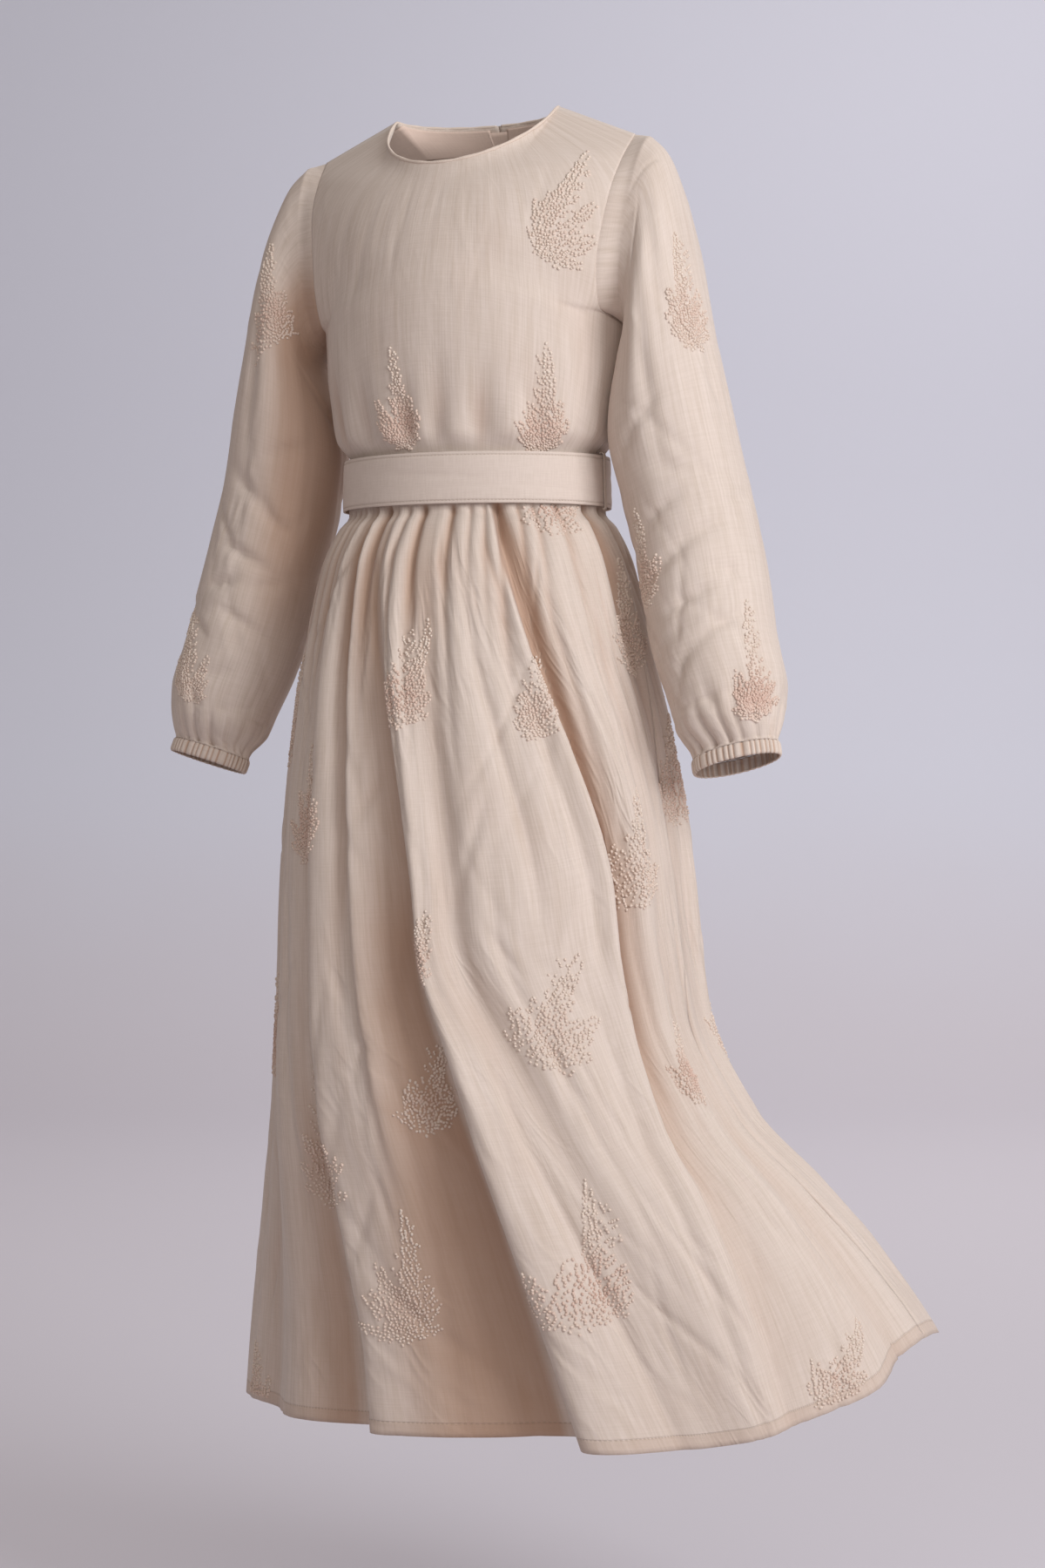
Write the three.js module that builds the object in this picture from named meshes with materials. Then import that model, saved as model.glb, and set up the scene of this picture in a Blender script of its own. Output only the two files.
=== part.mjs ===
// A long-sleeved, belted maxi dress in soft double gauze, filled out as when worn.
// Lengths are millimetres. +X is the wearer's left, -Y the front, +Z up. Angles round the body are degrees from
// the front, towards the wearer's left. Heights in the tables count from the neck point of the shoulder seam.
import * as THREE from "three";

// Driving dimensions
const HOLD_BELOW_NECK_POINT = 10;
const CLOTH = 1.6;
const TRIM_CLOTH = 1.1;
const SEAM_GAP = 0.5;
const LAYER_GAP = 1;
const ARMHOLE_GAP = 1.8;
const WAIST_SEAM_Z = -372;
const WAIST_HALF_WIDTH = 133;
const WAIST_HALF_DEPTH = 100;
const NECK_HALF_WIDTH = 90;
const NECK_FRONT_DEPTH = 79;
const NECK_FRONT_DROP = 60;
const NECK_BACK_DEPTH = 50;
const NECK_BACK_DROP = 3;
const SHOULDER_TIP = new THREE.Vector3(172, 2, -34);
const NECK_POINT_ANGLE = 40;
const BELT_TOP_Z = -344;
const BELT_HEIGHT = 50;
const BELT_THICKNESS = 2.4;
const CUFF_HEIGHT = 14;
const CUFF_RIBS = 36;
const RIB_HEIGHT = 1.3;
const WAIST_GATHERS = 30;
const SLEEVE_GATHERS = 12;
const SLEEVE_CLEARANCE = 4;
const RIGHT_ELBOW_SWING = 8;

// Columns and rows of each cloth grid
const SKIRT_COLUMNS = 84;
const BODICE_COLUMNS = 24;
const BODICE_ROWS = 14;
const SLEEVE_COLUMNS = 32;
const SLEEVE_ROWS = 15;
const BELT_COLUMNS = 48;

// How far down the skirt each row of its grid lies: close together where the gathers leave the belt.
const SKIRT_ROWS = [0, 0.029, 0.045, 0.075, 0.12, 0.18, 0.26, 0.35, 0.45, 0.56, 0.67, 0.78, 0.89, 1];

const COLOURS = {
  gauze: 0xd2c0b2,
  facing: 0xc9ab98,
  belt: 0xccb9aa,
  metal: 0xb9aea4,
};

// Skirt rings: height, half width, half depth, and how far the ring's middle has swung to the left and back.
const SKIRT_RINGS = [
  { z: -340, width: 131, depth: 98, left: 0, back: 0 },
  { z: -372, width: 133, depth: 100, left: 0, back: 0 },
  { z: -399, width: 135.5, depth: 102.5, left: 0, back: 0 },
  { z: -412, width: 147, depth: 113, left: 0, back: 0 },
  { z: -450, width: 165, depth: 134, left: 0, back: 0 },
  { z: -540, width: 185, depth: 155, left: 0, back: 0 },
  { z: -606, width: 197, depth: 166, left: 3, back: 0 },
  { z: -738, width: 214, depth: 183, left: 8, back: 2 },
  { z: -883, width: 224, depth: 196, left: 13, back: 5 },
  { z: -988, width: 254, depth: 207, left: 31, back: 15 },
  { z: -1052, width: 292, depth: 214, left: 55, back: 28 },
  { z: -1122, width: 330, depth: 222, left: 77, back: 42 },
  { z: -1211, width: 368, depth: 230, left: 96, back: 56 },
  { z: -1360, width: 400, depth: 240, left: 112, back: 62 },
];

// Height of the hem round the body.
const HEM = [
  { angle: -180, z: -1352 },
  { angle: -150, z: -1350 },
  { angle: -120, z: -1325 },
  { angle: -90, z: -1300 },
  { angle: -45, z: -1292 },
  { angle: 0, z: -1280 },
  { angle: 30, z: -1272 },
  { angle: 60, z: -1232 },
  { angle: 90, z: -1190 },
  { angle: 115, z: -1205 },
  { angle: 135, z: -1240 },
  { angle: 150, z: -1290 },
  { angle: 160, z: -1318 },
  { angle: 180, z: -1352 },
];

// Deep skirt folds: where each valley lies and how deep it is at the waist, half way down and at the hem; the
// half width of the valley at the waist and at the hem, in degrees; and how much steeper its left bank is than its
// right (less than 0: the right bank is the steep one).
const SKIRT_FOLDS = [
  { waist: -20, middle: 3, hem: 12, top: 4, half: 22, bottom: 44, narrow: 6, wide: 10, steep: 3.2 },
  { waist: -38, middle: -30, hem: -22, top: 3, half: 8, bottom: 40, narrow: 6, wide: 9, steep: 3.2 },
  { waist: 2, middle: 19, hem: 33, top: 4, half: 16, bottom: 6, narrow: 5, wide: 8, steep: 0.6 },
  { waist: 30, middle: 60, hem: 48, top: 6, half: 14, bottom: 26, narrow: 5, wide: 9, steep: 0.6 },
  { waist: 56, middle: 74, hem: 78, top: 3, half: 12, bottom: 20, narrow: 6, wide: 8, steep: -0.8 },
  { waist: 78, middle: 92, hem: 98, top: 6, half: 12, bottom: 16, narrow: 5, wide: 7, steep: 0.3 },
  { waist: 104, middle: 112, hem: 118, top: 4, half: 15, bottom: 34, narrow: 6, wide: 10, steep: -1.5 },
  { waist: 132, middle: 136, hem: 140, top: 5, half: 18, bottom: 30, narrow: 6, wide: 9, steep: 1.2 },
  { waist: 160, middle: 158, hem: 161, top: 3, half: 16, bottom: 34, narrow: 6, wide: 10, steep: -1 },
  { waist: -168, middle: -166, hem: -171, top: 4, half: 14, bottom: 36, narrow: 6, wide: 10, steep: 1.5 },
  { waist: -142, middle: -146, hem: -144, top: 5, half: 20, bottom: 32, narrow: 6, wide: 10, steep: -1.2 },
  { waist: -116, middle: -118, hem: -114, top: 4, half: 13, bottom: 30, narrow: 6, wide: 9, steep: 1 },
  { waist: -88, middle: -84, hem: -86, top: 4, half: 12, bottom: 22, narrow: 6, wide: 9, steep: -0.8 },
  { waist: -62, middle: -58, hem: -52, top: 4, half: 14, bottom: 20, narrow: 6, wide: 9, steep: 0.8 },
];

// Bodice sections from the waist up. Each runs from the centre to the side seam or armhole edge: height and depth
// at both, half width, and how flat the section is (0 an ellipse, 1 nearly flat across).
const FRONT_SECTIONS = [
  { edgeZ: -371.4, midZ: -371.4, width: 133, edge: 0, mid: 100, flat: 0 },
  { edgeZ: -346, midZ: -346, width: 131, edge: 0, mid: 98, flat: 0 },
  { edgeZ: -325, midZ: -325, width: 142, edge: 0, mid: 107, flat: 0 },
  { edgeZ: -290, midZ: -290, width: 150, edge: 0, mid: 113, flat: 0 },
  { edgeZ: -255, midZ: -252, width: 157, edge: 0, mid: 119, flat: 0.05 },
  { edgeZ: -219, midZ: -214, width: 165, edge: 0, mid: 122, flat: 0.2 },
  { edgeZ: -207, midZ: -186, width: 153, edge: 50, mid: 121, flat: 0.7 },
  { edgeZ: -162, midZ: -150, width: 157, edge: 67, mid: 114, flat: 1 },
  { edgeZ: -100, midZ: -108, width: 164, edge: 47, mid: 100, flat: 1 },
  { edgeZ: -60, midZ: -82, width: 169, edge: 22, mid: 88, flat: 1 },
];
const BACK_SECTIONS = [
  { edgeZ: -371.4, midZ: -371.4, width: 133, edge: 0, mid: 100, flat: 0 },
  { edgeZ: -346, midZ: -346, width: 131, edge: 0, mid: 98, flat: 0 },
  { edgeZ: -325, midZ: -325, width: 142, edge: 0, mid: 104, flat: 0 },
  { edgeZ: -290, midZ: -290, width: 150, edge: 0, mid: 106, flat: 0 },
  { edgeZ: -255, midZ: -252, width: 157, edge: 0, mid: 107, flat: 0.05 },
  { edgeZ: -219, midZ: -210, width: 165, edge: 0, mid: 108, flat: 0.2 },
  { edgeZ: -205, midZ: -178, width: 154, edge: 52, mid: 108, flat: 0.7 },
  { edgeZ: -152, midZ: -132, width: 158, edge: 72, mid: 104, flat: 1 },
  { edgeZ: -95, midZ: -84, width: 165, edge: 52, mid: 90, flat: 1 },
  { edgeZ: -58, midZ: -40, width: 169, edge: 26, mid: 68, flat: 1 },
];
const ARMPIT_SECTION = 5;

// Bodice drapes: the middle angle and section of each soft trough, its half width in degrees and in sections,
// and its depth.
const BODICE_FOLDS = [
  { angle: -52, section: 2.6, spread: 7, reach: 1.6, depth: 5 },
  { angle: -30, section: 2.4, spread: 6, reach: 1.3, depth: 4 },
  { angle: -9, section: 2.2, spread: 5, reach: 1.2, depth: 5 },
  { angle: 6, section: 2.5, spread: 5, reach: 1.5, depth: 4 },
  { angle: 22, section: 2.3, spread: 6, reach: 1.4, depth: 5 },
  { angle: 44, section: 2.6, spread: 7, reach: 1.6, depth: 4 },
  { angle: 66, section: 4.2, spread: 7, reach: 1.6, depth: 6 },
  { angle: -68, section: 4.4, spread: 7, reach: 1.6, depth: 6 },
  { angle: 128, section: 2.6, spread: 8, reach: 1.5, depth: 5 },
  { angle: -124, section: 2.8, spread: 8, reach: 1.5, depth: 5 },
  { angle: 152, section: 2.4, spread: 6, reach: 1.2, depth: 4 },
  { angle: -150, section: 2.4, spread: 6, reach: 1.2, depth: 4 },
];

// Sleeve rings: the point of the outer line and of the underarm line, the ring's middle depth, its half depth and
// how far the ring tips to face the front.
const SLEEVE_RINGS = [
  { outX: 189, outZ: -38, inX: 169, inZ: -224, y: 1, depth: 69, tip: 0 },
  { outX: 205, outZ: -54, inX: 171, inZ: -230, y: 1, depth: 68, tip: 0 },
  { outX: 217, outZ: -82, inX: 171, inZ: -238, y: 1, depth: 67, tip: 0 },
  { outX: 228, outZ: -120, inX: 169, inZ: -248, y: 1, depth: 65, tip: 0 },
  { outX: 239, outZ: -168, inX: 163, inZ: -264, y: 1, depth: 64, tip: 0 },
  { outX: 251, outZ: -226, inX: 154, inZ: -292, y: 1, depth: 63, tip: 0 },
  { outX: 265, outZ: -286, inX: 149, inZ: -330, y: 3, depth: 63, tip: 0 },
  { outX: 281, outZ: -360, inX: 162, inZ: -394, y: 8, depth: 63, tip: 2 },
  { outX: 296, outZ: -416, inX: 177, inZ: -448, y: 6, depth: 63, tip: 4 },
  { outX: 309, outZ: -469, inX: 189, inZ: -503, y: 0, depth: 63, tip: 6 },
  { outX: 319, outZ: -517, inX: 203, inZ: -549, y: -8, depth: 61, tip: 8 },
  { outX: 334, outZ: -568, inX: 223, inZ: -596, y: -17, depth: 55, tip: 10 },
  { outX: 335, outZ: -593, inX: 231, inZ: -619, y: -23, depth: 47, tip: 12 },
  { outX: 334, outZ: -613, inX: 244, inZ: -635, y: -28, depth: 31, tip: 14 },
  { outX: 333, outZ: -621, inX: 248, inZ: -643, y: -30, depth: 23, tip: 15 },
];

// Sleeve creases: ring number and angle of the middle of each trough (0 the outer line, 90 the front), its half
// width in rings and in degrees, its slant in rings over that half width, and its depth.
const SLEEVE_FOLDS = {
  left: [
    { ring: 3.6, angle: 118, reach: 2.6, spread: 14, slant: 0, depth: 9 },
    { ring: 8.2, angle: 60, reach: 0.45, spread: 60, slant: 0.5, depth: 6 },
    { ring: 9.1, angle: 90, reach: 0.4, spread: 55, slant: -0.4, depth: 6 },
    { ring: 10, angle: 40, reach: 0.45, spread: 60, slant: 0.4, depth: 5 },
    { ring: 8.6, angle: 240, reach: 0.5, spread: 60, slant: 0.3, depth: 6 },
    { ring: 4, angle: 240, reach: 2.6, spread: 16, slant: 0, depth: 7 },
  ],
  right: [
    { ring: 4, angle: 112, reach: 2.8, spread: 15, slant: 0, depth: 9 },
    { ring: 7.8, angle: 70, reach: 0.45, spread: 55, slant: -0.4, depth: 6 },
    { ring: 8.8, angle: 100, reach: 0.4, spread: 60, slant: 0.5, depth: 5 },
    { ring: 9.9, angle: 60, reach: 0.5, spread: 60, slant: -0.3, depth: 6 },
    { ring: 8.4, angle: 250, reach: 0.5, spread: 60, slant: -0.3, depth: 6 },
    { ring: 4.2, angle: 236, reach: 2.4, spread: 16, slant: 0, depth: 7 },
  ],
};

const lastRing = SLEEVE_RINGS.length - 1;
const radians = THREE.MathUtils.degToRad;
const mix = THREE.MathUtils.lerp;
const bell = (x) => Math.exp(-x * x);
const turnDifference = (a, b) => ((((a - b + 180) % 360) + 360) % 360) - 180;

// A fixed uneven value from -1 to 1 for each whole number.
function uneven(number, seed) {
  const wave = Math.sin(number * 12.9898 + seed * 78.233) * 43758.5453;
  return 2 * (wave - Math.floor(wave)) - 1;
}

// Value of a table's column between rows, on a curve that never overshoots them.
function between(rows, key, column, at) {
  const rising = rows[rows.length - 1][key] > rows[0][key];
  const order = rising ? 1 : -1;
  let low = 0;
  while (low < rows.length - 2 && order * (at - rows[low + 1][key]) > 0) low += 1;
  const slopeOf = (i) => (rows[i + 1][column] - rows[i][column]) / (rows[i + 1][key] - rows[i][key]);
  const tangentAt = (i) => {
    if (i === 0) return slopeOf(0);
    if (i === rows.length - 1) return slopeOf(rows.length - 2);
    const before = slopeOf(i - 1);
    const after = slopeOf(i);
    return before * after <= 0 ? 0 : (2 * before * after) / (before + after);
  };
  const span = rows[low + 1][key] - rows[low][key];
  const t = THREE.MathUtils.clamp((at - rows[low][key]) / span, 0, 1);
  const t2 = t * t;
  const t3 = t2 * t;
  return (
    rows[low][column] * (2 * t3 - 3 * t2 + 1) +
    tangentAt(low) * span * (t3 - 2 * t2 + t) +
    rows[low + 1][column] * (3 * t2 - 2 * t3) +
    tangentAt(low + 1) * span * (t3 - t2)
  );
}

// Outward unit normal of a surface given as a function of two parameters.
function normalOf(surface, u, v, stepU, stepV, sense) {
  const alongU = surface(u + stepU, v).sub(surface(u - stepU, v));
  const alongV = surface(u, v + stepV).sub(surface(u, v - stepV));
  return alongU.cross(alongV).normalize().multiplyScalar(sense);
}

// Closed wall from a grid of outer points and a grid of inner points, each grid[column][row].
function wallGeometry(outer, inner, wraps) {
  const columns = outer.length;
  const rows = outer[0].length;
  const positions = [];
  for (const grid of [outer, inner]) {
    for (const column of grid) for (const p of column) positions.push(p.x, p.y, p.z);
  }
  const outside = (c, r) => (c % columns) * rows + r;
  const inside = (c, r) => columns * rows + outside(c, r);
  const index = [];
  const quad = (a, b, c, d) => index.push(a, b, c, a, c, d);
  const lastColumn = wraps ? columns : columns - 1;
  for (let c = 0; c < lastColumn; c += 1) {
    for (let r = 0; r < rows - 1; r += 1) {
      quad(outside(c, r), outside(c + 1, r), outside(c + 1, r + 1), outside(c, r + 1));
      quad(inside(c, r), inside(c, r + 1), inside(c + 1, r + 1), inside(c + 1, r));
    }
    quad(inside(c, 0), inside(c + 1, 0), outside(c + 1, 0), outside(c, 0));
    quad(outside(c, rows - 1), outside(c + 1, rows - 1), inside(c + 1, rows - 1), inside(c, rows - 1));
  }
  if (!wraps) {
    for (let r = 0; r < rows - 1; r += 1) {
      quad(inside(0, r), outside(0, r), outside(0, r + 1), inside(0, r + 1));
      const c = columns - 1;
      quad(outside(c, r), inside(c, r), inside(c, r + 1), outside(c, r + 1));
    }
  }
  if (signedVolume(positions, index) < 0) index.reverse();
  const geometry = new THREE.BufferGeometry();
  geometry.setAttribute("position", new THREE.Float32BufferAttribute(positions, 3));
  geometry.setIndex(index);
  geometry.computeVertexNormals();
  return geometry;
}

function signedVolume(positions, index) {
  const corner = (i) => new THREE.Vector3().fromArray(positions, 3 * index[i]);
  let volume = 0;
  for (let i = 0; i < index.length; i += 3) volume += corner(i).dot(corner(i + 1).cross(corner(i + 2)));
  return volume;
}

// Wall of a panel cut from a surface: its outer side lies `sunk` below the surface, its inner side a cloth lower.
function panelGeometry({ surface, normalAt, from, to, columns, rows, sunk = 0, thickness = CLOTH }) {
  const outer = [];
  const inner = [];
  for (let c = 0; c <= columns; c += 1) {
    const u = mix(from, to, c / columns);
    outer.push([]);
    inner.push([]);
    for (const v of rows) {
      const point = surface(u, v);
      const normal = normalAt(u, v);
      outer[c].push(point.clone().addScaledVector(normal, -sunk));
      inner[c].push(point.clone().addScaledVector(normal, -sunk - thickness));
    }
  }
  return wallGeometry(outer, inner, false);
}

// Small gathers that leave the waist seam and fade down the skirt.
function waistGathers(angle, v) {
  let depth = 0;
  for (let i = 0; i < WAIST_GATHERS; i += 1) {
    const middle = -180 + (i + 0.5 + 0.28 * uneven(i, 1)) * (360 / WAIST_GATHERS);
    const reach = 0.16 + 0.09 * uneven(i, 2);
    const size = 5.5 + 2.2 * uneven(i, 3);
    const rise = THREE.MathUtils.smoothstep(v, 0.024, 0.07);
    depth += size * rise * bell(v / reach) * bell(turnDifference(angle, middle) / 4.2);
  }
  return depth;
}

// Profile across a fold: 1 on the valley floor, with a low ridge beyond its steep bank.
function foldProfile(x, steep) {
  const onSteepBank = x * steep > 0;
  const squeezed = onSteepBank ? x * (1 + Math.abs(steep)) : x;
  const ridge = bell((squeezed - 2.2 * Math.sign(steep)) / 1.2);
  return bell(squeezed) - 0.1 * Math.abs(steep) * ridge;
}

const evenRows = (low, high, count) => Array.from({ length: count + 1 }, (_, r) => mix(low, high, r / count));

function skirtFolds(angle, v) {
  let depth = 0;
  for (const fold of SKIRT_FOLDS) {
    const stations = [
      { v: 0, angle: fold.waist, depth: 0 },
      { v: 0.08, angle: mix(fold.waist, fold.middle, 0.2), depth: fold.top },
      { v: 0.5, angle: fold.middle, depth: fold.half },
      { v: 1, angle: fold.hem, depth: fold.bottom },
    ];
    const x = turnDifference(angle, between(stations, "v", "angle", v)) / mix(fold.narrow, fold.wide, v);
    depth += between(stations, "v", "depth", v) * foldProfile(x, fold.steep);
  }
  return depth;
}

function skirtPoint(angle, v) {
  const turned = turnDifference(angle, 0);
  const z = mix(WAIST_SEAM_Z, between(HEM, "angle", "z", turned), v);
  const inward = waistGathers(angle, v) + skirtFolds(angle, v);
  const width = between(SKIRT_RINGS, "z", "width", z) - inward;
  const depth = between(SKIRT_RINGS, "z", "depth", z) - inward;
  const x = between(SKIRT_RINGS, "z", "left", z) + width * Math.sin(radians(angle));
  const y = between(SKIRT_RINGS, "z", "back", z) - depth * Math.cos(radians(angle));
  return new THREE.Vector3(x, y, z);
}

// The waist seam lies under the belt, so there the wall is upright.
function skirtNormal(angle, v) {
  const normal = normalOf(skirtPoint, angle, Math.max(v, 0.004), 0.4, 0.004, -1);
  normal.z *= THREE.MathUtils.smoothstep(v, 0.02, 0.045);
  return normal.normalize();
}

// Point of one bodice section, `turn` from 0 at the centre to 90 at the edge. `facing` is -1 for the front.
function sectionPoint(section, turn, facing) {
  const share = turn / 90;
  const across = mix(Math.sin(radians(turn)), share, section.flat);
  const rise = mix(Math.cos(radians(turn)), 1 - share * share, section.flat);
  return new THREE.Vector3(
    section.width * across,
    facing * mix(section.edge, section.mid, rise),
    mix(section.edgeZ, section.midZ, rise),
  );
}

// The bodice's top edge: shoulder seam from the tip to the neck point, then the neckline to the centre.
function topEdgePoint(turn, facing) {
  if (turn >= NECK_POINT_ANGLE) {
    const neckPoint = new THREE.Vector3(NECK_HALF_WIDTH, 0, 0);
    const share = (turn - NECK_POINT_ANGLE) / (90 - NECK_POINT_ANGLE);
    const point = neckPoint.lerp(SHOULDER_TIP, share);
    point.y += (facing * SEAM_GAP) / 2;
    return point;
  }
  const round = radians((90 * turn) / NECK_POINT_ANGLE);
  const depth = facing < 0 ? NECK_FRONT_DEPTH : NECK_BACK_DEPTH;
  const drop = facing < 0 ? NECK_FRONT_DROP : NECK_BACK_DROP;
  const y = facing * (depth * Math.cos(round) + SEAM_GAP / 2);
  return new THREE.Vector3(NECK_HALF_WIDTH * Math.sin(round), y, -drop * Math.cos(round));
}

function bodiceFolds(angle, row) {
  let depth = 0;
  for (const fold of BODICE_FOLDS) {
    const across = turnDifference(angle, fold.angle) / fold.spread;
    depth += fold.depth * bell(across) * bell((row - fold.section) / fold.reach);
  }
  return depth;
}

// Bodice point, v from 0 at the waist seam to 1 at the top edge.
function bodicePoint(angle, v) {
  const turned = turnDifference(angle, 0);
  const facing = Math.abs(turned) <= 90 ? -1 : 1;
  const side = turned < 0 ? -1 : 1;
  const turn = facing < 0 ? Math.abs(turned) : 180 - Math.abs(turned);
  const sections = facing < 0 ? FRONT_SECTIONS : BACK_SECTIONS;
  const row = v * sections.length;
  const stations = sections.map((section, i) => ({ i, ...sectionPoint(section, turn, facing) }));
  stations.push({ i: sections.length, ...topEdgePoint(turn, facing) });
  const point = new THREE.Vector3(
    between(stations, "i", "x", row),
    between(stations, "i", "y", row),
    between(stations, "i", "z", row),
  );
  const settled = THREE.MathUtils.smoothstep(row, 1, 2.2) * bodiceFolds(turned, row);
  const inward = settled / Math.max(1, Math.hypot(point.x, point.y));
  point.x = side * point.x * (1 - inward);
  point.y *= 1 - inward;
  return point;
}

// Along the shoulder seam the front's and the back's walls turn to face each other.
function bodiceNormal(angle, v) {
  const normal = normalOf(bodicePoint, angle, Math.min(v, 0.995), 0.4, 0.004, 1);
  const turned = Math.abs(turnDifference(angle, 0));
  const turn = turned <= 90 ? turned : 180 - turned;
  const onShoulder = THREE.MathUtils.smoothstep(turn, NECK_POINT_ANGLE - 8, NECK_POINT_ANGLE);
  normal.y *= 1 - onShoulder * THREE.MathUtils.smoothstep(v, 0.93, 1);
  normal.z *= THREE.MathUtils.smoothstep(v, 0.01, 0.1);
  return normal.normalize();
}

const sectionCount = FRONT_SECTIONS.length;
const armpitShare = ARMPIT_SECTION / sectionCount;

// Armhole edge: `turn` 0 at the shoulder tip, 90 half way down the front, 180 at the armpit, 270 up the back.
function armholePoint(turn) {
  const down = turn <= 180 ? turn / 180 : (360 - turn) / 180;
  const v = mix(1, armpitShare, down);
  const angle = turn <= 180 ? 90 : 90.0001;
  const point = bodicePoint(angle, v);
  const outward = point.clone().sub(bodicePoint(turn <= 180 ? 88 : 92, v));
  outward.y *= THREE.MathUtils.smoothstep(Math.sin(Math.PI * down), 0, 0.5);
  outward.x = Math.max(outward.x, 0.3);
  return point.addScaledVector(outward.normalize(), ARMHOLE_GAP);
}

// The body's outline that a hanging sleeve lies against.
function clearOfBody(point) {
  if (point.z > -219) return point;
  const onBodice = point.z > WAIST_SEAM_Z;
  const rows = onBodice ? FRONT_SECTIONS.slice(0, ARMPIT_SECTION + 1) : SKIRT_RINGS;
  const key = onBodice ? "edgeZ" : "z";
  const besideBelt = point.z < BELT_TOP_Z + 6 && point.z > BELT_TOP_Z - BELT_HEIGHT - 8;
  const clear = SLEEVE_CLEARANCE + (besideBelt ? 2 * BELT_THICKNESS : 0);
  const width = between(rows, key, "width", point.z) + clear;
  const depth = between(rows, key, onBodice ? "mid" : "depth", point.z) + clear;
  const share = Math.hypot(point.x / width, point.y / depth);
  if (share < 1) {
    point.x /= share;
    point.y /= share;
  }
  return point;
}

// Unit directions of a sleeve ring: outward, towards the back, and down the arm.
function ringFrame(ring) {
  const outward = new THREE.Vector3(ring.outX - ring.inX, 0, ring.outZ - ring.inZ).normalize();
  const back = new THREE.Vector3(0, Math.cos(radians(ring.tip)), -Math.sin(radians(ring.tip)));
  back.addScaledVector(outward, -back.dot(outward)).normalize();
  const down = new THREE.Vector3().crossVectors(outward, back).negate();
  return { outward, back, down: down.z > 0 ? down.negate() : down };
}

// Ring of the sleeve at a row of the table; `swing` carries the elbow outwards.
function ringAt(row, swing) {
  const stations = SLEEVE_RINGS.map((ring, i) => ({ i, ...ring }));
  const ring = {};
  for (const column of ["outX", "outZ", "inX", "inZ", "y", "depth", "tip"]) {
    ring[column] = between(stations, "i", column, row);
  }
  const outwards = swing * Math.sin((Math.PI * row) / lastRing);
  ring.outX += outwards;
  ring.inX += outwards;
  return ring;
}

function ringPoint(ring, turn, grow) {
  const { outward, back } = ringFrame(ring);
  const half = Math.hypot(ring.outX - ring.inX, ring.outZ - ring.inZ) / 2;
  const middle = new THREE.Vector3((ring.outX + ring.inX) / 2, ring.y, (ring.outZ + ring.inZ) / 2);
  return middle
    .addScaledVector(outward, (half + grow) * Math.cos(radians(turn)))
    .addScaledVector(back, -(ring.depth + grow) * Math.sin(radians(turn)));
}

function sleeveFolds(turn, row, folds) {
  let depth = 0;
  for (const fold of folds) {
    const across = turnDifference(turn, fold.angle) / fold.spread;
    const along = (row - fold.ring - fold.slant * across) / fold.reach;
    depth += fold.depth * bell(across) * bell(along);
  }
  const nearCuff = THREE.MathUtils.smoothstep(row, lastRing - 4, lastRing - 1);
  const intoSeam = 1 - THREE.MathUtils.smoothstep(row, lastRing - 0.8, lastRing);
  return depth + 2.2 * nearCuff * intoSeam * (1 - Math.cos(radians(turn * SLEEVE_GATHERS)));
}

// Left sleeve point, v from 0 at the armhole seam to 1 at the cuff seam.
function sleevePoint(turn, v, folds, swing) {
  const row = v * (lastRing + 1) - 1;
  if (row >= 0) return clearOfBody(ringPoint(ringAt(row, swing), turn, -sleeveFolds(turn, row, folds)));
  const first = clearOfBody(ringPoint(ringAt(0, swing), turn, 0));
  return armholePoint(turn).lerp(first, row + 1);
}

function sleeveGeometry(side) {
  const folds = SLEEVE_FOLDS[side];
  const mirror = side === "left" ? 1 : -1;
  const outer = [];
  const inner = [];
  const swing = side === "left" ? 0 : RIGHT_ELBOW_SWING;
  const surface = (turn, v) => sleevePoint(turn, v, folds, swing);
  for (let c = 0; c < SLEEVE_COLUMNS; c += 1) {
    const turn = (360 * c) / SLEEVE_COLUMNS;
    outer.push([]);
    inner.push([]);
    for (let r = 0; r <= SLEEVE_ROWS; r += 1) {
      const v = r / SLEEVE_ROWS;
      const point = surface(turn, v);
      const forward = surface(turn, Math.min(v + 0.01, 1)).sub(surface(turn, Math.max(v - 0.01, 0)));
      const round = surface(turn + 1, v).sub(surface(turn - 1, v));
      const normal = round.cross(forward).normalize();
      if (r === 0) seamNormal(normal, turn);
      outer[c].push(point.clone());
      inner[c].push(point.clone().addScaledVector(normal, -CLOTH));
    }
  }
  for (const grid of [outer, inner]) for (const column of grid) for (const p of column) p.x *= mirror;
  return wallGeometry(outer, inner, true);
}

// At the armhole seam the sleeve's wall follows the bodice's, so that the two edges face each other.
function seamNormal(normal, turn) {
  const down = turn <= 180 ? turn / 180 : (360 - turn) / 180;
  const underarm = THREE.MathUtils.smoothstep(down, 0.7, 0.95);
  const v = mix(0.995, armpitShare, down);
  const seam = bodiceNormal(turn <= 180 ? 88 : 92, v);
  normal.lerp(seam, 1 - underarm).normalize();
}

// Elastic cuff band: ribs raised over a plain inside.
function cuffGeometry(side) {
  const mirror = side === "left" ? 1 : -1;
  const ring = SLEEVE_RINGS[lastRing];
  const { down } = ringFrame(ring);
  const outer = [];
  const inner = [];
  for (let c = 0; c < 2 * CUFF_RIBS; c += 1) {
    const turn = (180 * c) / CUFF_RIBS;
    const rib = c % 2 ? RIB_HEIGHT : 0;
    outer.push([]);
    inner.push([]);
    for (const along of [SEAM_GAP, CUFF_HEIGHT]) {
      outer[c].push(ringPoint(ring, turn, rib).addScaledVector(down, along));
      inner[c].push(ringPoint(ring, turn, -CLOTH).addScaledVector(down, along));
    }
  }
  for (const grid of [outer, inner]) for (const column of grid) for (const p of column) p.x *= mirror;
  return wallGeometry(outer, inner, true);
}

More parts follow.
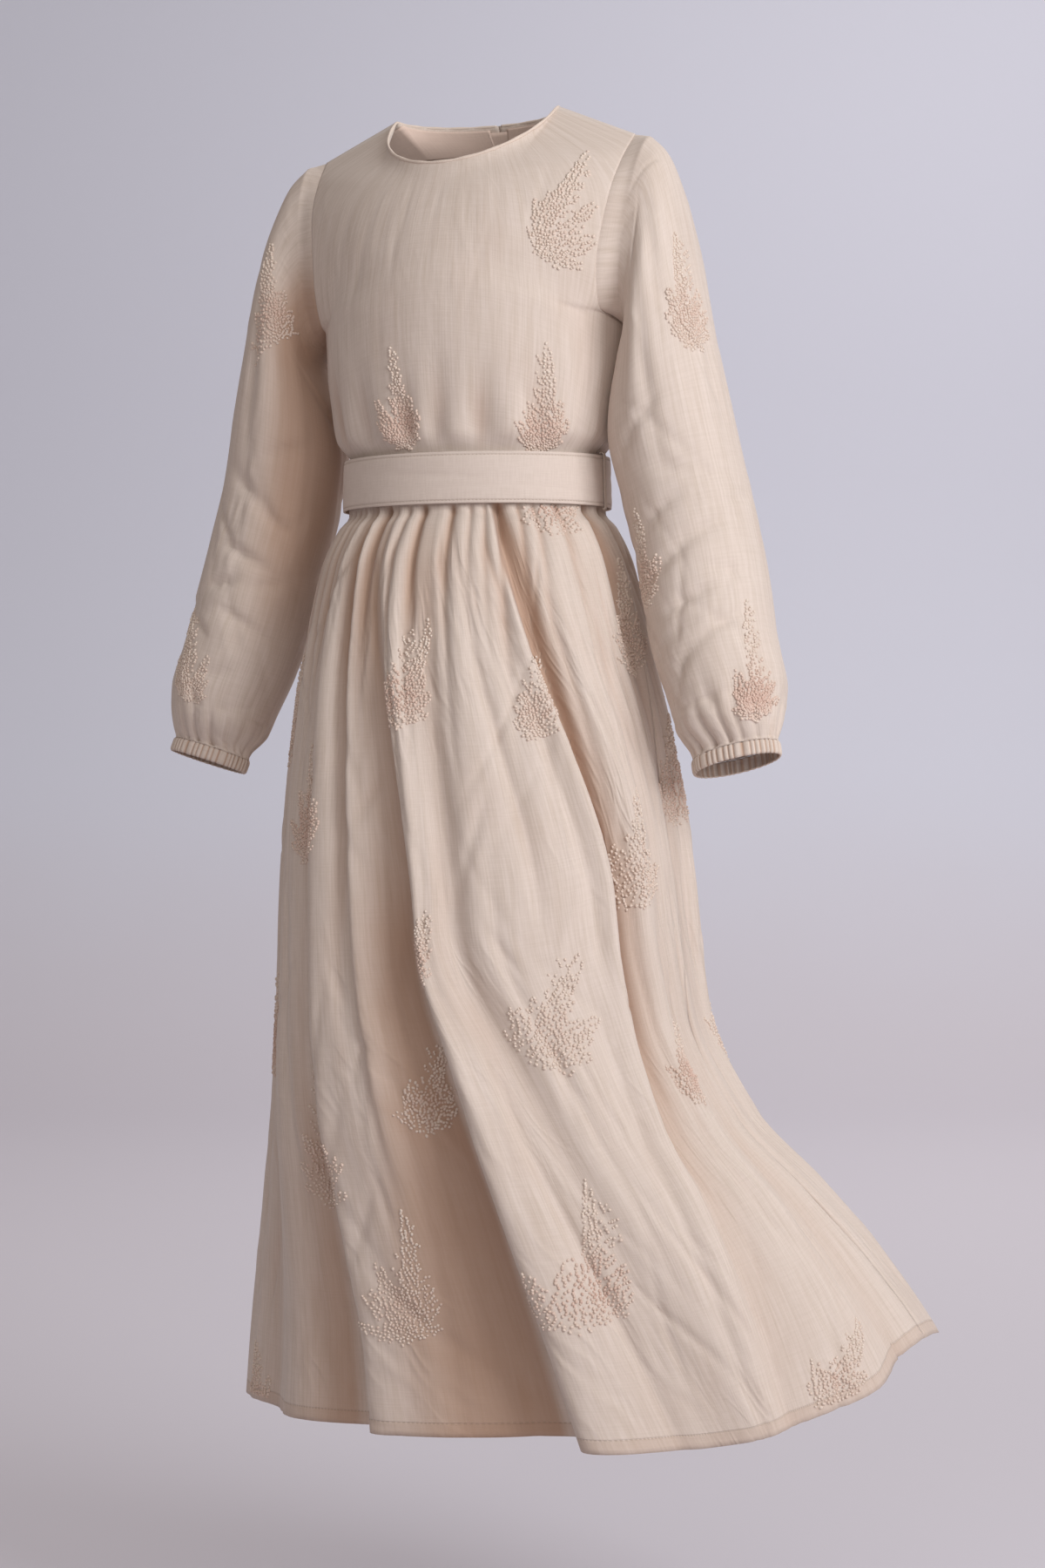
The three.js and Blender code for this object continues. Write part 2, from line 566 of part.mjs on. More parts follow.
// Belt band: it widens a little downwards, and its free end laps over it beside the centre back.
function beltPoint(angle, z, out) {
  const widening = (1.4 * (BELT_TOP_Z - z)) / BELT_HEIGHT;
  const width = WAIST_HALF_WIDTH + 3.6 + widening + out;
  const depth = WAIST_HALF_DEPTH + 3.6 + widening + out;
  return new THREE.Vector3(width * Math.sin(radians(angle)), -depth * Math.cos(radians(angle)), z);
}

const BELT_LAP_FROM = 172;
const BELT_LAP_TO = 200;

function beltGeometry() {
  const outer = [];
  const inner = [];
  for (let c = 0; c < BELT_COLUMNS; c += 1) {
    const angle = (360 * c) / BELT_COLUMNS;
    const lapped = angle > BELT_LAP_FROM && angle < BELT_LAP_TO ? BELT_THICKNESS : 0;
    const heights = [BELT_TOP_Z - BELT_HEIGHT, BELT_TOP_Z];
    outer.push(heights.map((z) => beltPoint(angle, z, BELT_THICKNESS + lapped)));
    inner.push(heights.map((z) => beltPoint(angle, z, 0)));
  }
  return wallGeometry(outer, inner, true);
}

// Narrow loop at the side seam: a strap over the belt, its ends turned in towards the dress.
const LOOP_WIDTH = 5;
const LOOP_REACH = 3.4;

function beltLoopGeometry(side) {
  const over = beltPoint(90, BELT_TOP_Z, BELT_THICKNESS + LAYER_GAP).x;
  const under = beltPoint(90, BELT_TOP_Z - BELT_HEIGHT, BELT_THICKNESS + LAYER_GAP).x;
  const top = BELT_TOP_Z + LOOP_REACH;
  const bottom = BELT_TOP_Z - BELT_HEIGHT - LOOP_REACH;
  const outline = new THREE.Shape();
  outline.moveTo(over - 1.2, top - 3);
  outline.lineTo(over, top - 3);
  outline.lineTo(under, bottom + 3);
  outline.lineTo(under - 0.6, bottom + 3);
  outline.lineTo(under - 0.6, bottom + 1.6);
  outline.lineTo(under + 1.3, bottom + 1.6);
  outline.lineTo(over + 1.3, top - 1.6);
  outline.lineTo(over - 1.2, top - 1.6);
  const strap = new THREE.ExtrudeGeometry(outline, { depth: LOOP_WIDTH, bevelEnabled: false });
  strap.rotateX(Math.PI / 2);
  strap.translate(0, LOOP_WIDTH / 2, 0);
  if (side === "right") strap.rotateZ(Math.PI);
  return strap;
}

// Zip tape behind the centre-back edges of the bodice.
const ZIP_FROM_ROW = 3;
const ZIP_TO_ROW = 13;
const ZIP_HALF_ANGLE = 3.75;

function zipTapeGeometry() {
  return panelGeometry({
    surface: bodicePoint,
    normalAt: bodiceNormal,
    from: 180 - ZIP_HALF_ANGLE,
    to: 180 + ZIP_HALF_ANGLE,
    columns: 2,
    rows: evenRows(ZIP_FROM_ROW / BODICE_ROWS, ZIP_TO_ROW / BODICE_ROWS, ZIP_TO_ROW - ZIP_FROM_ROW),
    sunk: CLOTH + LAYER_GAP,
    thickness: TRIM_CLOTH,
  });
}

// Zip slider with its bridge, and the pull tab that hangs from the bridge. Both are made flat, with the cloth
// below z = 0 and the top of the zip towards +y, then laid on the back.
const SLIDER = { length: 9, height: 2.2, lift: 0.5 };
const BRIDGE = { width: 1.6, half: 3, height: 5, hollowHalf: 1.8, hollowFrom: 0.8, hollowTo: 4 };
const PULL = { width: 5.2, thickness: 1.2, length: 22, slotHalf: 1.4, slotFrom: 0.75, slotTo: 5.4 };
const PIVOT_HEIGHT = SLIDER.lift + SLIDER.height + 2.4;
const SLIDER_SHARE = 0.955;

function sliderGeometry() {
  const outline = new THREE.Shape();
  const base = SLIDER.lift;
  const deck = base + SLIDER.height;
  outline.moveTo(-SLIDER.length / 2, base);
  outline.lineTo(SLIDER.length / 2, base);
  outline.lineTo(SLIDER.length / 2, deck);
  outline.lineTo(BRIDGE.half, deck);
  outline.lineTo(BRIDGE.half, deck + BRIDGE.height);
  outline.lineTo(-BRIDGE.half, deck + BRIDGE.height);
  outline.lineTo(-BRIDGE.half, deck);
  outline.lineTo(-SLIDER.length / 2, deck);
  const hollow = new THREE.Path();
  hollow.moveTo(-BRIDGE.hollowHalf, deck + BRIDGE.hollowFrom);
  hollow.lineTo(BRIDGE.hollowHalf, deck + BRIDGE.hollowFrom);
  hollow.lineTo(BRIDGE.hollowHalf, deck + BRIDGE.hollowTo);
  hollow.lineTo(-BRIDGE.hollowHalf, deck + BRIDGE.hollowTo);
  outline.holes.push(hollow);
  const body = new THREE.ExtrudeGeometry(outline, { depth: BRIDGE.width, bevelEnabled: false });
  body.translate(0, 0, -BRIDGE.width / 2);
  body.rotateX(Math.PI / 2);
  body.rotateZ(Math.PI / 2);
  return body;
}

function pullGeometry() {
  const half = PULL.width / 2;
  const outline = new THREE.Shape();
  outline.moveTo(-half, PULL.slotFrom);
  outline.lineTo(-half, -PULL.length + half);
  outline.absarc(0, -PULL.length + half, half, Math.PI, 2 * Math.PI, false);
  outline.lineTo(half, PULL.slotFrom);
  const slot = new THREE.Path();
  slot.moveTo(-PULL.slotHalf, -PULL.slotTo);
  slot.lineTo(PULL.slotHalf, -PULL.slotTo);
  slot.lineTo(PULL.slotHalf, -PULL.slotFrom);
  slot.lineTo(-PULL.slotHalf, -PULL.slotFrom);
  outline.holes.push(slot);
  const tab = new THREE.ExtrudeGeometry(outline, { depth: PULL.thickness, bevelEnabled: false, curveSegments: 8 });
  tab.translate(0, 0, PIVOT_HEIGHT - PULL.thickness / 2);
  return tab;
}

function addMesh(parent, name, geometry, colour, roughness = 0.9, metalness = 0) {
  const material = new THREE.MeshStandardMaterial({ color: colour, roughness, metalness });
  const mesh = new THREE.Mesh(geometry, material);
  mesh.name = name;
  parent.add(mesh);
  return mesh;
}

// Degrees that part two panel edges by the seam gap at the waist.
const PANEL_GAP = THREE.MathUtils.radToDeg(SEAM_GAP / WAIST_HALF_DEPTH) / 2;

// The neck facing's columns and rows lie on those of the bodice back.
const FACING_COLUMNS = 4;
const FACING_HALF_ANGLE = (FACING_COLUMNS * 180) / BODICE_COLUMNS;
const FACING_ROWS = [1 - 1 / BODICE_ROWS, 0.99];

const dress = new THREE.Group();
dress.position.z = HOLD_BELOW_NECK_POINT;

const skirtPanels = [
  { name: "skirt_front", from: -90, to: 90, share: 0.5 },
  { name: "skirt_back_left", from: 90, to: 180, share: 0.25 },
  { name: "skirt_back_right", from: -180, to: -90, share: 0.25 },
];
for (const { name, from, to, share } of skirtPanels) {
  const geometry = panelGeometry({
    surface: skirtPoint,
    normalAt: skirtNormal,
    from: from + PANEL_GAP,
    to: to - PANEL_GAP,
    columns: SKIRT_COLUMNS * share,
    rows: SKIRT_ROWS,
  });
  addMesh(dress, name, geometry, COLOURS.gauze);
}

const bodicePanels = [
  { name: "bodice_front", from: -90, to: 90, share: 1 },
  { name: "bodice_back_left", from: 90.001, to: 180, share: 0.5 },
  { name: "bodice_back_right", from: -180, to: -90.001, share: 0.5 },
];
for (const { name, from, to, share } of bodicePanels) {
  const geometry = panelGeometry({
    surface: bodicePoint,
    normalAt: bodiceNormal,
    from: from + PANEL_GAP,
    to: to - PANEL_GAP,
    columns: BODICE_COLUMNS * share,
    rows: evenRows(0, 1, BODICE_ROWS),
  });
  addMesh(dress, name, geometry, COLOURS.gauze);
}

for (const side of ["left", "right"]) {
  addMesh(dress, `sleeve_${side}`, sleeveGeometry(side), COLOURS.gauze);
  addMesh(dress, `cuff_${side}`, cuffGeometry(side), COLOURS.gauze);
  addMesh(dress, `belt_loop_${side}`, beltLoopGeometry(side), COLOURS.gauze);
  const facing = panelGeometry({
    surface: bodicePoint,
    normalAt: bodiceNormal,
    from: side === "left" ? 180 - FACING_HALF_ANGLE : 180 + PANEL_GAP,
    to: side === "left" ? 180 - PANEL_GAP : 180 + FACING_HALF_ANGLE,
    columns: FACING_COLUMNS,
    rows: FACING_ROWS,
    sunk: CLOTH + LAYER_GAP,
    thickness: TRIM_CLOTH,
  });
  addMesh(dress, `neck_facing_${side}`, facing, COLOURS.facing, 0.8);
}

addMesh(dress, "belt", beltGeometry(), COLOURS.belt, 0.85);
addMesh(dress, "zip_tape", zipTapeGeometry(), COLOURS.facing, 0.8);

const zipHead = new THREE.Group();
const backNormal = bodiceNormal(180, SLIDER_SHARE);
zipHead.position.copy(bodicePoint(180, SLIDER_SHARE));
zipHead.rotation.set(-Math.atan2(backNormal.y, backNormal.z), 0, Math.PI);
dress.add(zipHead);
addMesh(zipHead, "zip_slider", sliderGeometry(), COLOURS.metal, 0.35, 0.8);
addMesh(zipHead, "zip_pull", pullGeometry(), COLOURS.metal, 0.35, 0.8);

export default dress;
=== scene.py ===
"""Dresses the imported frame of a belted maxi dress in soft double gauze, for a studio view.

Lengths are metres. +X is the wearer's left, -Y the front, +Z up. Angles round the body are degrees
from the front towards the wearer's left. Heights in the tables count from the neck point of the
shoulder seam, and HOLD lifts them into the frame.
"""

import logging
import math
from collections.abc import Callable, Sequence
from dataclasses import dataclass, field
from enum import Enum

import bmesh
import bpy
import numpy as np
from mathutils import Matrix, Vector


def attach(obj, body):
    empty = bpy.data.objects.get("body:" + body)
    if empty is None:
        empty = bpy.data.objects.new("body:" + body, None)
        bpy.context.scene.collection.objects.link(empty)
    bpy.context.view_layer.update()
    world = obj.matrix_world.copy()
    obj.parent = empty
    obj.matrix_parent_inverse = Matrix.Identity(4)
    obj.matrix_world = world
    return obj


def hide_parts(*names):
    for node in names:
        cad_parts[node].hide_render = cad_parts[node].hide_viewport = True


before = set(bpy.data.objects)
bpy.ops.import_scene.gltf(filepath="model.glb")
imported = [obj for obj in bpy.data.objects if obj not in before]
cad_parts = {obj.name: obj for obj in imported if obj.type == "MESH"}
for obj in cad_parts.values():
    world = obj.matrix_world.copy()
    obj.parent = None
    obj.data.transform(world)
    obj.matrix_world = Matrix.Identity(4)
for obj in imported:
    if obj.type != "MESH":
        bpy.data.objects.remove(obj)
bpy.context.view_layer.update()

Array = np.ndarray
Place = Callable[[Array, Array], Array]
Pair = tuple[float, float]
Triple = tuple[float, float, float]
Piece = bpy.types.Object
Material = bpy.types.Material
log = logging.getLogger("dress")

# Lift of the shoulders, wall of the cloth, gaps at seams and between layers, waist seam and belt.
HOLD = 0.010
CLOTH = 0.0011
SEAM_GAP = 0.0005
LAYER_GAP = 0.001
WAIST_SEAM_Z = -0.372
WAIST_HALF = (0.133, 0.100)
BELT_TOP_Z = -0.344
BELT_HEIGHT = 0.050


class Side(Enum):
    """The two sides of the wearer."""

    LEFT = "left"
    RIGHT = "right"

    @property
    def sign(self) -> int:
        """+1 on the wearer's left, -1 on the right."""
        return 1 if self is Side.LEFT else -1


def mix(a: Array, b: Array, share: Array) -> Array:
    """Straight blend from a to b."""
    return a + (b - a) * share


def bell(x: Array) -> Array:
    """Soft hump, 1 in the middle."""
    return np.exp(-np.square(x))


def pinch(x: Array) -> Array:
    """A narrow peak of height 1 at 0 that spreads at its foot, like a pulled gather."""
    return np.exp(-1.5 * (np.sqrt(x * x + 0.05) - 0.2236))


def unit(rows: Array) -> Array:
    """Each row brought to length 1."""
    return rows / np.maximum(np.linalg.norm(rows, axis=-1, keepdims=True), 1e-12)


def smooth(x: Array, low: float, high: float) -> Array:
    """Soft step from 0 at low to 1 at high."""
    t = np.clip((x - low) / (high - low), 0, 1)
    return t * t * (3 - 2 * t)


def turn_between(a: Array, b: Array) -> Array:
    """Signed angle from b to a, in degrees."""
    return (a - b + 180) % 360 - 180


def curve_through(keys: Array, values: Array, at: Array) -> Array:
    """Reads rows of values on a smooth curve that never overshoots them.

    Args:
        keys: Place of each row, rising or falling.
        values: One value a row, or a row of values with a column for each place read.
        at: Places to read.

    Returns:
        The value at each place.
    """
    if keys[0] > keys[-1]:
        keys, values = keys[::-1], values[::-1]
    columns = np.arange(at.size)
    steps = np.diff(keys)
    slope = np.diff(values, axis=0) / (steps if values.ndim == 1 else steps[:, None])
    before, after = slope[:-1], slope[1:]
    agree = before * after > 0
    inner = np.where(agree, 2 * before * after / np.where(agree, before + after, 1), 0)
    tangent = np.concatenate([slope[:1], inner, slope[-1:]])

    def pick(rows: Array, index: Array) -> Array:
        """Entry of each place's own row."""
        return rows[index] if rows.ndim == 1 else rows[index, columns]

    low = np.clip(np.searchsorted(keys, at, side="right") - 1, 0, len(keys) - 2)
    span = steps[low]
    t = np.clip((at - keys[low]) / span, 0, 1)
    t2, t3 = t * t, t * t * t
    return (
        pick(values, low) * (2 * t3 - 3 * t2 + 1)
        + pick(tangent, low) * span * (t3 - 2 * t2 + t)
        + pick(values, low + 1) * (3 * t2 - 2 * t3)
        + pick(tangent, low + 1) * span * (t3 - t2)
    )


class Table:
    """Short table of named columns."""

    def __init__(self, columns: Sequence[str], rows: Sequence[Sequence[float]]) -> None:
        """Keeps each column as an array under its name."""
        self.length = len(rows)
        self.column = dict(zip(columns, np.array(rows, float).T, strict=True))

    def __getitem__(self, name: str) -> Array:
        """A whole column."""
        return self.column[name]

    def rows(self) -> list[dict[str, float]]:
        """Each row as named values.

        Returns:
            A dictionary for each row.
        """
        return [
            {name: float(values[i]) for name, values in self.column.items()}
            for i in range(self.length)
        ]

    def read(self, key: str, name: str, at: Array) -> Array:
        """Value of a column between the rows, by the key column."""
        return curve_through(self[key], self[name], at)


SKIRT_RINGS = Table(
    ("z", "width", "depth", "left", "back"),
    [
        (-0.34, 0.131, 0.098, 0.0, 0.0),
        (-0.372, 0.133, 0.1, 0.0, 0.0),
        (-0.399, 0.1355, 0.1025, 0.0, 0.0),
        (-0.412, 0.147, 0.113, 0.0, 0.0),
        (-0.45, 0.165, 0.134, 0.0, 0.0),
        (-0.54, 0.185, 0.155, 0.0, 0.0),
        (-0.606, 0.197, 0.166, 0.003, 0.0),
        (-0.738, 0.214, 0.183, 0.008, 0.002),
        (-0.883, 0.224, 0.196, 0.013, 0.005),
        (-0.988, 0.254, 0.207, 0.031, 0.015),
        (-1.052, 0.292, 0.214, 0.055, 0.028),
        (-1.122, 0.33, 0.222, 0.077, 0.042),
        (-1.211, 0.368, 0.23, 0.096, 0.056),
        (-1.36, 0.4, 0.24, 0.112, 0.062),
    ],
)

HEM = Table(
    ("angle", "z"),
    [
        (-180, -1.352),
        (-150, -1.35),
        (-120, -1.325),
        (-90, -1.3),
        (-45, -1.292),
        (0, -1.28),
        (30, -1.272),
        (60, -1.232),
        (90, -1.19),
        (115, -1.205),
        (135, -1.24),
        (150, -1.29),
        (160, -1.318),
        (180, -1.352),
    ],
)

# Deep folds: angle at the waist, half way down and at the hem, depth near the waist, half way
# down, low down and at the hem, half width at the waist and the hem, and how steep the left bank
# is (less than 0: the right one).
SKIRT_FOLDS = Table(
    ("waist", "middle", "hem", "top", "half", "low", "bottom", "narrow", "wide", "steep"),
    [
        (-20, 3, 11, 0.004, 0.033, 0.051, 0.053, 11, 17, 3.4),
        (-40, -33, -24, 0.003, 0.01, 0.026, 0.03, 6, 9, 2.4),
        (-29, -17, -8, 0.013, 0.009, 0.002, 0.0, 3.5, 7, 2.2),
        (2, 16, 34, 0.004, 0.012, 0.007, 0.006, 5, 9, 0.6),
        (26, 62, 48, 0.015, 0.036, 0.014, 0.007, 4.5, 10, -1.9),
        (56, 78, 76, 0.003, 0.01, 0.012, 0.01, 6, 9, -0.8),
        (78, 93, 98, 0.006, 0.011, 0.006, 0.002, 5, 8, 0.3),
        (104, 112, 120, 0.004, 0.011, 0.008, 0.003, 6, 10, -0.9),
        (132, 136, 140, 0.005, 0.018, 0.024, 0.03, 6, 9, 1.2),
        (160, 158, 161, 0.003, 0.016, 0.026, 0.032, 6, 10, -1),
        (-168, -166, -171, 0.004, 0.014, 0.026, 0.034, 6, 10, 1.5),
        (-142, -146, -144, 0.005, 0.02, 0.026, 0.03, 6, 10, -1.2),
        (-116, -118, -114, 0.004, 0.013, 0.022, 0.028, 6, 9, 1),
        (-88, -84, -86, 0.004, 0.012, 0.016, 0.018, 6, 9, -0.8),
        (-62, -58, -52, 0.004, 0.012, 0.014, 0.016, 6, 10, 0.5),
    ],
)

# Gathers that leave the belt: angle at the waist, depth, how far down they reach, half width.
WAIST_GATHERS = Table(
    ("angle", "depth", "reach", "spread"),
    [
        (-175, 0.0062, 0.2, 3.4),
        (-163, 0.0048, 0.14, 3.0),
        (-152, 0.007, 0.24, 3.8),
        (-139, 0.0052, 0.12, 3.2),
        (-128, 0.0066, 0.22, 3.6),
        (-115, 0.0045, 0.15, 3.0),
        (-104, 0.0068, 0.2, 3.8),
        (-91, 0.0056, 0.24, 2.6),
        (-84, 0.0048, 0.2, 2.2),
        (-77, 0.0066, 0.3, 2.6),
        (-70, 0.0056, 0.24, 2.2),
        (-63, 0.0072, 0.34, 2.6),
        (-56, 0.0054, 0.22, 2.2),
        (-50, 0.0068, 0.3, 2.6),
        (-44, 0.005, 0.2, 2.2),
        (-38, 0.0054, 0.11, 2.4),
        (-33, 0.0036, 0.08, 1.8),
        (-22, 0.0092, 0.2, 3.0),
        (-16, 0.0042, 0.1, 1.9),
        (-10, 0.005, 0.16, 2.1),
        (-3, 0.0088, 0.24, 2.7),
        (10, 0.0084, 0.15, 3.0),
        (18, 0.0046, 0.12, 2.0),
        (24, 0.005, 0.18, 2.2),
        (30, 0.0085, 0.26, 2.6),
        (39, 0.0058, 0.14, 2.4),
        (46, 0.005, 0.2, 2.4),
        (58, 0.0042, 0.11, 2.6),
        (77, 0.008, 0.22, 3.4),
        (90, 0.0054, 0.15, 3.2),
        (103, 0.0064, 0.2, 3.6),
        (115, 0.0048, 0.13, 3.0),
        (127, 0.0068, 0.24, 3.8),
        (140, 0.0052, 0.15, 3.2),
        (153, 0.0066, 0.2, 3.6),
        (168, 0.005, 0.14, 3.2),
    ],
)

# Softer creases that run down the cloth between the deep folds, by their place along the waist:
# where they start, deepest and end (0 the waist, 1 the hem), depth, half width in degrees of waist.
SKIRT_CREASES = Table(
    ("angle", "start", "end", "depth", "spread", "drift"),
    [
        (-80, 0.05, 0.62, 0.004, 2.6, 2.0),
        (-71, 0.3, 1.05, 0.006, 3.0, -1.5),
        (-56, 0.08, 0.45, 0.0042, 2.2, 1.0),
        (-49, 0.35, 1.05, 0.0066, 2.6, 1.5),
        (-45, 0.06, 0.38, 0.0036, 1.8, -1.0),
        (-31, 0.1, 0.55, 0.0046, 2.0, 1.0),
        (-27, 0.5, 1.05, 0.0058, 2.0, -1.0),
        (-13, 0.05, 0.42, 0.0048, 1.8, 1.5),
        (-8, 0.3, 0.8, 0.005, 1.8, -1.0),
        (-4, 0.55, 1.05, 0.0062, 1.9, 1.0),
        (6, 0.06, 0.34, 0.004, 1.6, -0.8),
        (9, 0.38, 0.86, 0.0048, 1.8, 1.2),
        (13, 0.1, 0.5, 0.0058, 1.9, 0.8),
        (17, 0.52, 1.05, 0.0064, 2.0, -1.2),
        (21, 0.2, 0.62, 0.0046, 1.7, 0.6),
        (24, 0.66, 1.05, 0.0052, 1.8, 0.5),
        (30, 0.12, 0.72, 0.0085, 1.9, 0.4),
        (36, 0.1, 0.4, 0.0044, 1.8, -1.0),
        (39, 0.42, 0.95, 0.0056, 2.2, 1.2),
        (47, 0.08, 0.52, 0.004, 2.2, 1.0),
        (51, 0.5, 1.05, 0.0064, 2.4, -1.0),
        (64, 0.05, 0.48, 0.0046, 2.4, 0.8),
        (68, 0.42, 1.05, 0.006, 2.6, 1.0),
        (85, 0.1, 0.7, 0.0052, 2.6, -1.5),
        (94, 0.3, 1.05, 0.006, 3.0, 1.0),
        (110, 0.08, 0.5, 0.0045, 2.6, 1.5),
        (119, 0.36, 1.05, 0.0062, 3.0, -1.0),
        (126, 0.06, 0.42, 0.0042, 2.2, 1.0),
        (145, 0.12, 0.66, 0.0055, 2.8, 1.2),
        (151, 0.48, 1.05, 0.006, 2.6, -1.0),
        (168, 0.1, 0.58, 0.0048, 2.4, 1.0),
        (174, 0.44, 1.05, 0.006, 2.8, 0.8),
        (-176, 0.08, 0.44, 0.0042, 2.2, -1.0),
        (-158, 0.24, 0.84, 0.0055, 2.6, 1.0),
        (-152, 0.05, 0.4, 0.0044, 2.2, 1.0),
        (-133, 0.1, 0.6, 0.005, 2.6, -1.2),
        (-127, 0.46, 1.05, 0.0062, 2.8, 1.0),
        (-106, 0.12, 0.74, 0.0052, 2.8, 1.4),
        (-99, 0.4, 1.05, 0.006, 2.8, -1.0),
    ],
)

FRONT_SECTIONS = Table(
    ("edge_z", "mid_z", "width", "edge", "mid", "flat"),
    [
        (-0.3714, -0.3714, 0.133, 0.0, 0.1, 0),
        (-0.346, -0.346, 0.131, 0.0, 0.098, 0),
        (-0.323, -0.323, 0.148, 0.0, 0.108, 0),
        (-0.29, -0.29, 0.155, 0.0, 0.114, 0),
        (-0.255, -0.252, 0.161, 0.0, 0.118, 0.05),
        (-0.219, -0.214, 0.165, 0.0, 0.12, 0.2),
        (-0.207, -0.186, 0.154, 0.04, 0.119, 0.6),
        (-0.162, -0.15, 0.156, 0.053, 0.113, 1),
        (-0.1, -0.108, 0.164, 0.043, 0.1, 1),
        (-0.06, -0.082, 0.169, 0.021, 0.088, 1),
    ],
)
BACK_SECTIONS = Table(
    ("edge_z", "mid_z", "width", "edge", "mid", "flat"),
    [
        (-0.3714, -0.3714, 0.133, 0.0, 0.1, 0),
        (-0.346, -0.346, 0.131, 0.0, 0.098, 0),
        (-0.323, -0.323, 0.148, 0.0, 0.105, 0),
        (-0.29, -0.29, 0.155, 0.0, 0.107, 0),
        (-0.255, -0.252, 0.161, 0.0, 0.108, 0.05),
        (-0.219, -0.21, 0.165, 0.0, 0.108, 0.2),
        (-0.205, -0.178, 0.155, 0.041, 0.108, 0.6),
        (-0.152, -0.132, 0.158, 0.058, 0.104, 1),
        (-0.095, -0.084, 0.165, 0.047, 0.09, 1),
        (-0.058, -0.04, 0.169, 0.026, 0.068, 1),
    ],
)

# Bodice drapes: middle angle and section, half width in degrees and in sections, depth.
BODICE_DRAPES = Table(
    ("angle", "section", "spread", "reach", "depth"),
    [
        (-52, 2.6, 7, 1.6, 0.005),
        (-30, 2.4, 6, 1.3, 0.004),
        (-9, 2.2, 5, 1.2, 0.005),
        (6, 2.5, 5, 1.5, 0.004),
        (22, 2.3, 6, 1.4, 0.005),
        (-40, 1.9, 8, 0.9, -0.003),
        (-18, 1.8, 7, 0.8, -0.004),
        (14, 1.7, 6, 0.8, -0.004),
        (34, 1.9, 7, 0.9, -0.004),
        (56, 1.8, 7, 0.8, -0.003),
        (44, 2.6, 7, 1.6, 0.004),
        (66, 4.2, 9, 2.0, 0.003),
        (-68, 4.4, 8, 1.8, 0.004),
        (128, 2.6, 8, 1.5, 0.005),
        (-124, 2.8, 8, 1.5, 0.005),
        (152, 2.4, 6, 1.2, 0.004),
        (-150, 2.4, 6, 1.2, 0.004),
    ],
)

SLEEVE_RINGS = Table(
    ("out_x", "out_z", "in_x", "in_z", "y", "depth", "tip"),
    [
        (0.189, -0.038, 0.169, -0.224, 0.001, 0.058, 0),
        (0.205, -0.054, 0.171, -0.23, 0.001, 0.06, 0),
        (0.217, -0.082, 0.171, -0.238, 0.001, 0.0615, 0),
        (0.228, -0.12, 0.169, -0.248, 0.001, 0.0625, 0),
        (0.239, -0.168, 0.163, -0.264, 0.001, 0.063, 0),
        (0.251, -0.226, 0.154, -0.292, 0.001, 0.063, 0),
        (0.265, -0.286, 0.149, -0.33, 0.003, 0.063, 0),
        (0.281, -0.36, 0.162, -0.394, 0.008, 0.063, 2),
        (0.296, -0.416, 0.177, -0.448, 0.006, 0.063, 4),
        (0.309, -0.469, 0.189, -0.503, 0.0, 0.063, 6),
        (0.319, -0.517, 0.203, -0.549, -0.008, 0.061, 8),
        (0.334, -0.568, 0.223, -0.596, -0.017, 0.055, 10),
        (0.335, -0.593, 0.231, -0.619, -0.023, 0.047, 12),
        (0.334, -0.613, 0.244, -0.635, -0.028, 0.031, 14),
        (0.333, -0.621, 0.248, -0.643, -0.03, 0.023, 15),
    ],
)
LAST_RING = SLEEVE_RINGS.length - 1

